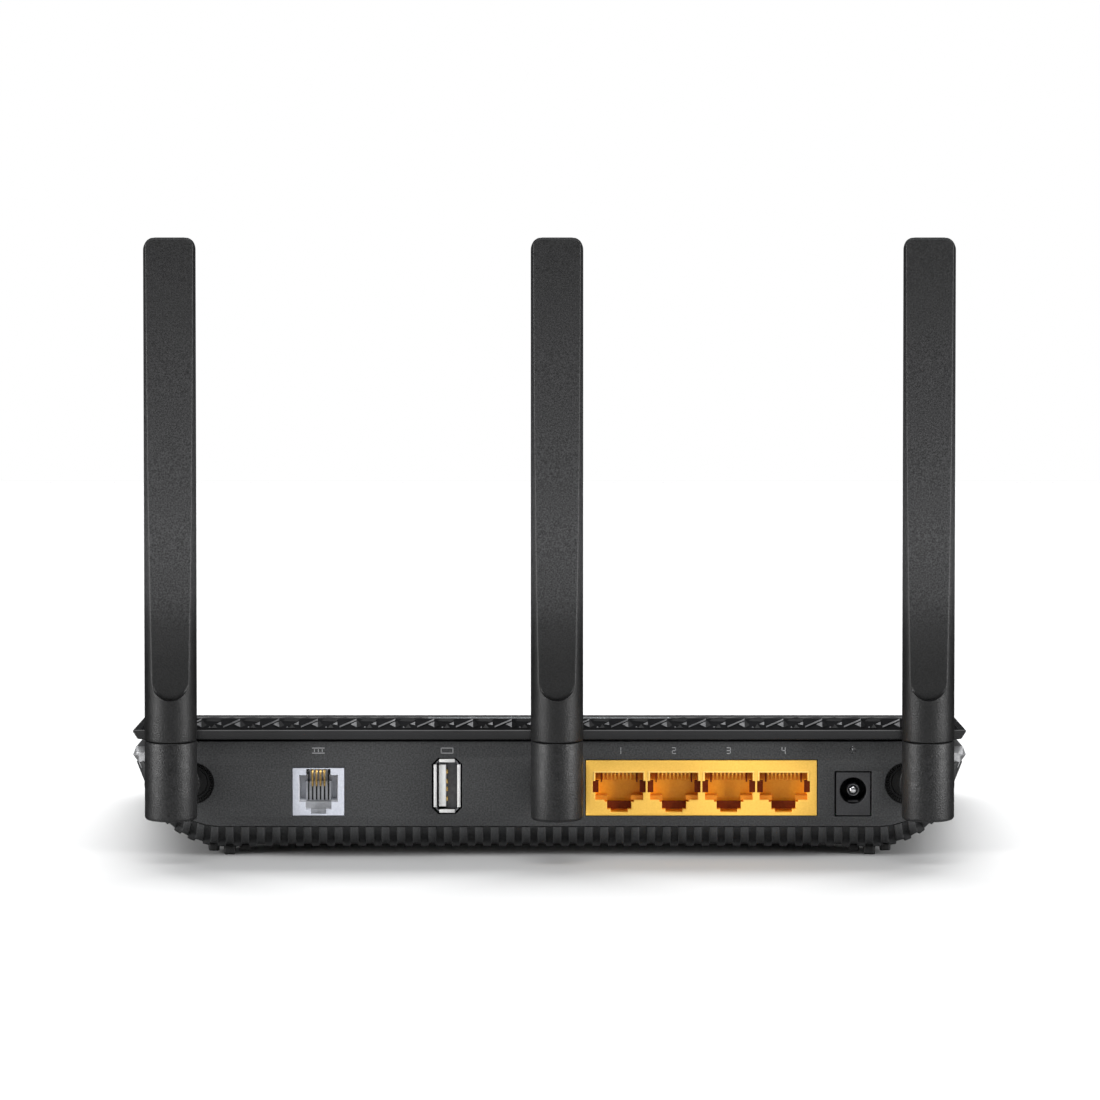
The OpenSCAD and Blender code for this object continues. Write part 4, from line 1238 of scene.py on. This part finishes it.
def power_jack():
    """The round power socket and its centre pin."""
    y = PANEL_Y + 0.25
    hole = circle(DC_X, DC_Z, 3.4)
    outline = rectangle(DC_X - 4.4, DC_X + 4.4, BOARD_Z, 22.1, 0.2)
    face = plate("power_jack_face", [outline, hole], y, 1.5, 0.12)
    paint(face, BLACKS["jack"])
    body = made("power_body", BLACKS["jack"], [box(DC_X - 4.3, DC_X + 4.3, y + 10, y + 13.7, BOARD_Z, 21.3),
                                               box(DC_X - 4.3, DC_X - 3.4, y + 1.4, y + 10, BOARD_Z, 21.3),
                                               box(DC_X + 3.4, DC_X + 4.3, y + 1.4, y + 10, BOARD_Z, 21.3)])
    bore = [(3.4, 0.12), (3.65, 0.9), (3.65, 10.2), (0.02, 10.2), (0.02, 9.9), (3.35, 9.9), (3.35, 0.9)]
    bore = ring_solid("y", (DC_X, DC_Z), from_y(y, bore), 64)
    # The bore is painted near black, a painted shade.
    tube = made("power_bore", BLACKS["recess_shade"], [bore], sharp=30)
    loop = [(1.25, 1.5), (1.5, 1.5), (1.58, 1.65), (1.58, 9.9), (1.17, 9.9), (1.17, 1.65)]
    sleeve = made("power_sleeve", GREY_TONGUE, [ring_solid("y", (DC_X, DC_Z), from_y(y, loop))], sharp=30)
    bar = box(DC_X - 1.3, DC_X + 1.3, y + 1.2, y + 3.0, DC_Z - 3.1, DC_Z - 2.75)
    tab = made("power_tab", BLACKS["jack"], [bar])
    jack = join("power_jack_face", [face, body, tube, sleeve, tab])
    finish_piece(jack, "housing", "jack_black", "power_jack")
    tip = [(0.02, 0.8), (0.45, 0.82), (0.8, 0.98), (1.0, 1.25), (1.05, 1.6), (1.05, 14.3), (0.02, 14.3)]
    pin = made("power_pin_round", STEEL, [lathe("y", (DC_X, DC_Z), from_y(y, tip), 40)], sharp=40)
    finish_piece(pin, "housing", "pin_steel", "power_pin")


# ---- printed marks --------------------------------------------------------------------------
SEGMENTS = {"1": "bc", "2": "abged", "3": "abgcd", "4": "fgbc"}
STROKES = {"a": ((0, 2), (1, 2)), "b": ((1, 2), (1, 1)), "c": ((1, 1), (1, 0)), "d": ((0, 0), (1, 0)),
           "e": ((0, 1), (0, 0)), "f": ((0, 2), (0, 1)), "g": ((0, 1), (1, 1))}


def stroke(a, b, w):
    """A thin flat printed line on the panel between two XZ points."""
    a, b = Vector(a), Vector(b)
    d = (b - a).normalized() * w / 2
    n = Vector((-d.y, d.x))
    corners = [a - d - n, b + d - n, b + d + n, a - d + n]
    return prism([tuple(p) for p in corners], PANEL_Y - 0.015, PANEL_Y + 0.05)


def printed_marks():
    """Plain digits over the network jacks and simple signs over the other sockets."""
    z = 27.0
    w = 0.2
    parts = []
    for i in range(4):
        x = LAN_X + (i - 1.5) * LAN_PITCH - 0.42
        for key in SEGMENTS[str(i + 1)]:
            a, b = STROKES[key]
            parts.append(stroke((x + a[0] * 0.84, z + a[1] * 0.75), (x + b[0] * 0.84, z + b[1] * 0.75), w))
    for x0 in (DSL_X, USB_X):
        parts.append(stroke((x0 - 1.5, z + 0.1), (x0 + 1.5, z + 0.1), w))
        parts.append(stroke((x0 - 1.5, z + 1.4), (x0 + 1.5, z + 1.4), w))
    for k in range(3):
        parts.append(stroke((DSL_X - 1.0 + k, z + 0.5), (DSL_X - 1.0 + k, z + 1.0), w))
    parts.append(stroke((USB_X - 1.5, z + 0.1), (USB_X - 1.5, z + 1.4), w))
    parts.append(stroke((USB_X + 1.5, z + 0.1), (USB_X + 1.5, z + 1.4), w))
    ring = arc(DC_X - 0.2, z + 0.75, 0.75, 60, 390, 22)
    parts += [stroke(ring[k], ring[k + 1], w) for k in range(len(ring) - 1)]
    parts.append(stroke((DC_X - 0.2, z + 0.9), (DC_X - 0.2, z + 1.75), w))
    marks = made("panel_marks", INK, parts)
    finish_piece(marks, "housing", "panel_plastic")


# ---- buttons --------------------------------------------------------------------------------
def buttons():
    """Key caps with a dished front, and a flange inside the shell that keeps them in."""
    for name, body in (("power_button", "power_key"), ("pair_button", "pair_key")):
        low, high = span(name)
        profile = [(0.02, low.x + 0.25), (1.4, low.x + 0.2), (2.0, low.x + 0.04), (2.3, low.x),
                   (KEY_R - 0.08, low.x + 0.12), (KEY_R, low.x + 0.4), (KEY_R, high.x - 0.7),
                   (KEY_R + 0.35, high.x - 0.7), (KEY_R + 0.35, high.x), (0.02, high.x)]
        cap = made(name + "_cap", BLACKS["button"], [lathe("x", middle(name)[1:], profile, 48)], sharp=35)
        finish_piece(cap, body, "button_black", name)


# ---- antennas -------------------------------------------------------------------------------
BARREL = span("left_barrel")
ANT_R = (BARREL[1].x - BARREL[0].x) / 2
ANT_Y = BARREL[0].y + ANT_R
BARREL_Z0 = BARREL[0].z - 0.5
SEAM_Z = BARREL[1].z - 6
TIP_Z = span("left_blade")[1].z - 0.5
FACE_LINE = [(47.2, 4.77), (52, 4.7), (62, 4.5), (79, 4.08), (110, 3.5), (135, 3.15), (161, 2.87)]
FACE_HALF = 4.63
BLADE_CORNER = 2.9
FACE_FOOT = 42.9


def face_depth(z):
    """Distance of the blade's flat face from its axis at height z; the face starts with a round foot."""
    if z <= FACE_FOOT:
        return 9.0
    z_round = FACE_LINE[0][0]
    if z < z_round:
        half = FACE_HALF * sqrt(1 - ((z_round - z) / (z_round - FACE_FOOT)) ** 2)
        return sqrt(ANT_R ** 2 - half ** 2)
    for (z0, d0), (z1, d1) in zip(FACE_LINE, FACE_LINE[1:]):
        if z <= z1:
            return d0 + (d1 - d0) * (z - z0) / (z1 - z0)
    return FACE_LINE[-1][1]


def soft_min(a, b, r):
    """The smaller of a and b, rounded over by r where they meet."""
    h = max(0.0, min(1.0, 0.5 + 0.5 * (b - a) / r))
    return b + (a - b) * h - r * h * (1 - h)


def blade_ring(cx, z, shrink, angles):
    """The blade's section at height z: round, cut flat front and back, with a sunk round foot."""
    depth = face_depth(z) - shrink
    radius = ANT_R - shrink
    corner = BLADE_CORNER - shrink
    drop = max(0.0, z - (TIP_Z - shrink - corner))
    wide = ANT_R - BLADE_CORNER + sqrt(max(0.0, corner ** 2 - min(drop, corner) ** 2))
    in_foot = FACE_FOOT < z < FACE_LINE[0][0]
    half = sqrt(max(0.0, radius ** 2 - depth ** 2)) if in_foot else 0.0
    ring = []
    for a in angles:
        x, y = radius * sin(a), radius * cos(a)
        if in_foot and abs(x) < half:
            sunk = min(1.0, (half - abs(x)) / 0.35)
            y = copysign(abs(y) * (1 - sunk) + FACE_LINE[0][1] * sunk, y)
        elif not in_foot:
            y = copysign(soft_min(abs(y), depth, 0.3 if z > FACE_FOOT else 0.02), y)
        if drop > 0:
            x = max(-wide, min(wide, x))
        ring.append((cx + x, ANT_Y - y, z))
    return ring


def ring_angles(depth):
    """Angles round the blade, packed closely where the flat faces meet the round sides."""
    edge = acos(min(0.995, depth / ANT_R)) if depth < ANT_R else 0.30
    edge = max(edge, 0.30)
    angles = []
    spans = [(-edge, edge, 22), (edge, pi - edge, 22), (pi - edge, pi + edge, 22),
             (pi + edge, 2 * pi - edge, 22)]
    for a0, a1, n in spans:
        for k in range(n):
            t = k / n
            t = t * t * (3 - 2 * t) * 0.75 + t * 0.25
            angles.append(a0 + (a1 - a0) * t)
    return angles


def blade_mesh(cx):
    """The upper half of an antenna, through rings at (height, how far it is drawn in)."""
    zs = [(SEAM_Z + 0.2, 0.22), (SEAM_Z + 0.26, 0.1), (SEAM_Z + 0.4, 0.02), (SEAM_Z + 0.6, 0.0)]
    zs += [(h, 0.0) for h in (36, 40, 42.6, 42.85)]
    zs += [(FACE_FOOT + 4.3 * (1 - cos(radians(a))), 0.0) for a in range(3, 91, 3)]
    zs += [(h, 0.0) for h in (48.2, 50, 52, 54, 58, 62, 70, 79, 90, 100, 110, 122, 135, 147, 156)]
    corner = BLADE_CORNER
    zs += [(TIP_Z - corner + corner * sin(radians(a)), 0.0) for a in range(0, 76, 6)]
    zs += [(TIP_Z - 0.1, 0.06), (TIP_Z - 0.03, 0.16), (TIP_Z, 0.34)]
    rings = []
    for height, shrink in zs:
        rings.append(blade_ring(cx, height, shrink, ring_angles(face_depth(height))))
    return loft(rings)


def barrel_object(name, cx):
    """The lower half: a rounded foot, a softened top edge, and the slot that the hinge tongue sits in."""
    top = SEAM_Z
    profile = [(0.02, BARREL_Z0 + 0.35), (3.2, BARREL_Z0 + 0.3)]
    for a in range(0, 91, 10):
        turn = radians(a)
        profile.append((ANT_R - 0.9 + 0.9 * sin(turn), BARREL_Z0 + 0.9 - 0.9 * cos(turn)))
    profile += [(ANT_R, BARREL_Z0 + 5), (ANT_R, top - 0.25), (ANT_R - 0.06, top - 0.1), (ANT_R - 0.2, top),
                (5, top), (5, top + 6), (1.2, top + 6), (1.2, top + 3), (0.02, top + 3)]
    obj = build(name, *lathe("z", (cx, ANT_Y), profile, 96), sharp=35)
    slot = box(cx - 2.8, cx + 2.8, ANT_Y - 4.5, ANT_Y + 10, BARREL_Z0 - 1, HINGE_Z + 4.7)
    cut(obj, [slot], sharp=35)
    return obj


def knuckle_mesh(cx):
    """The swivel: a round hub against the panel, a tongue to the pin, and the shaft into the housing."""
    hub0 = PANEL_Y - 1.1
    hub = [(0.02, 0), (6.5, 0), (6.85, 0.08), (7.0, 0.25), (7.0, 0.6), (6.9, 0.8), (0.02, 0.8)]
    parts = [lathe("y", (cx, HINGE_Z), from_y(hub0, hub), 72),
             rod("y", (cx, HINGE_Z), 3.0, hub0 + 0.7, PANEL_Y + 7.4, 40),
             rod("y", (cx, HINGE_Z), 3.5, PANEL_Y + 6.3, PANEL_Y + 7.1, 40)]
    outline = [(hub0 + 0.1, -4.1), (hub0 + 0.1, 4.1)]
    outline += [(ANT_Y - p[1], p[0]) for p in arc(0, 0, 4.1, 0, 180, 20)]
    rings = []
    for x, inset in ((-2.5, 0.2), (-2.3, 0.0), (2.3, 0.0), (2.5, 0.2)):
        ring = []
        for y, z in outline:
            k = 1 - inset / 4.1
            ring.append((cx + x, ANT_Y + (y - ANT_Y) * (k if y < ANT_Y else 1), HINGE_Z + z * k))
        rings.append(ring)
    parts.append(loft(rings))
    return merged(parts)


def antennas():
    """Blade and barrel ride on the tilting arm, the knuckle on the swivel."""
    for side in ANTENNAS:
        cx = middle(side + "_barrel")[0]
        blade = made(side + "_blade_shell", BLACKS["blade"], [blade_mesh(cx)], sharp=40)
        finish_piece(blade, side + "_arm", "antenna_plastic", side + "_blade")
        barrel = barrel_object(side + "_barrel_shell", cx)
        paint(barrel, BLACKS["antenna"])
        finish_piece(barrel, side + "_arm", "antenna_plastic", side + "_barrel")
        knuckle = made(side + "_swivel_hub", BLACKS["antenna"], [knuckle_mesh(cx)], sharp=35)
        finish_piece(knuckle, side + "_swivel", "antenna_plastic", side + "_knuckle")


# ---- studio ---------------------------------------------------------------------------------
def camera():
    """A long lens a little above the table, square to the port panel."""
    elevation = radians(7.54)
    distance, field_width = 4.0, 0.27978
    target = Vector((0.00013, PANEL_Y * MM, 0.0793))
    data = bpy.data.cameras.new("camera")
    data.sensor_width = 36
    data.lens = data.sensor_width * distance / field_width
    obj = new_object("camera", data)
    obj.location = target + Vector((0, -cos(elevation), sin(elevation))) * distance
    obj.rotation_euler = (radians(90) - elevation, 0, 0)
    bpy.context.scene.camera = obj


def area_light(name, place, size, energy):
    """A soft rectangle of light, in metres, aimed at the object's middle."""
    data = bpy.data.lights.new(name, "AREA")
    data.shape = "RECTANGLE"
    data.size, data.size_y = size
    data.energy = energy
    obj = new_object(name, data)
    obj.location = place
    obj.rotation_euler = (Vector((0, -0.05, 0.06)) - Vector(place)).to_track_quat("-Z", "Y").to_euler()
    obj.visible_camera = False


def studio():
    """Two side strips, a front fill, a broad soft sun and a pale floor in two parts."""
    area_light("strip_left", (-1.6, -0.76, 0.33), (0.42, 0.62), 31)
    area_light("strip_right", (1.6, -0.76, 0.33), (0.42, 0.62), 31)
    area_light("front_fill", (0.0, -1.25, 2.2), (1.6, 0.7), 16)
    data = bpy.data.lights.new("top_soft", "SUN")
    data.energy = 6.8
    data.angle = radians(62)
    sun = new_object("top_soft", data)
    sun.rotation_euler = (radians(-54), 0, 0)
    sun.visible_glossy = False
    m = Material("floor_white")
    m.colour(m.noise(400, 2.0), (0.55, 0.55, 0.55), (0.57, 0.57, 0.57))
    m.set(Roughness=0.9, Specular_IOR_Level=0.0)
    for name, y0, y1 in (("floor_near", -2600, -60), ("floor_far", -60, 700)):
        corners = [(-1400, y0, 0), (1400, y0, 0), (1400, y1, 0), (-1400, y1, 0)]
        floor = build(name, corners, [(0, 1, 2, 3)])
        paint(floor, m.data)
        floor.visible_glossy = name == "floor_near"
    sky()


def sky():
    """Dim from below, soft grey from above, and plain white where the camera looks past the object."""
    world = bpy.data.worlds.new("studio")
    bpy.context.scene.world = world
    world.use_nodes = True
    nodes, links = world.node_tree.nodes, world.node_tree.links
    soft = nodes["Background"]
    soft.inputs["Strength"].default_value = 1.0
    split = nodes.new("ShaderNodeSeparateXYZ")
    links.new(nodes.new("ShaderNodeTexCoord").outputs["Generated"], split.inputs["Vector"])
    ramp = nodes.new("ShaderNodeValToRGB")
    stops = ((0.05, (0.02, 0.02, 0.02, 1)), (0.6, (0.40, 0.41, 0.42, 1)))
    for element, (place, colour) in zip(ramp.color_ramp.elements, stops):
        element.position, element.color = place, colour
    links.new(split.outputs["Z"], ramp.inputs["Fac"])
    links.new(ramp.outputs["Color"], soft.inputs["Color"])
    seen = nodes.new("ShaderNodeBackground")
    seen.inputs["Color"].default_value = (1, 1, 1, 1)
    seen.inputs["Strength"].default_value = 1.0
    mix = nodes.new("ShaderNodeMixShader")
    links.new(nodes.new("ShaderNodeLightPath").outputs["Is Camera Ray"], mix.inputs["Fac"])
    links.new(soft.outputs["Background"], mix.inputs[1])
    links.new(seen.outputs["Background"], mix.inputs[2])
    links.new(mix.outputs["Shader"], nodes["World Output"].inputs["Surface"])
    bpy.context.scene.view_settings.view_transform = "Standard"


camera()
studio()
bottom_shell()
rear_panel()
top_cover()
silver_trim()
rubber_feet()
lan_block()
lan_wires()
dsl_jack()
dsl_wires()
usb_socket()
power_jack()
printed_marks()
buttons()
antennas()
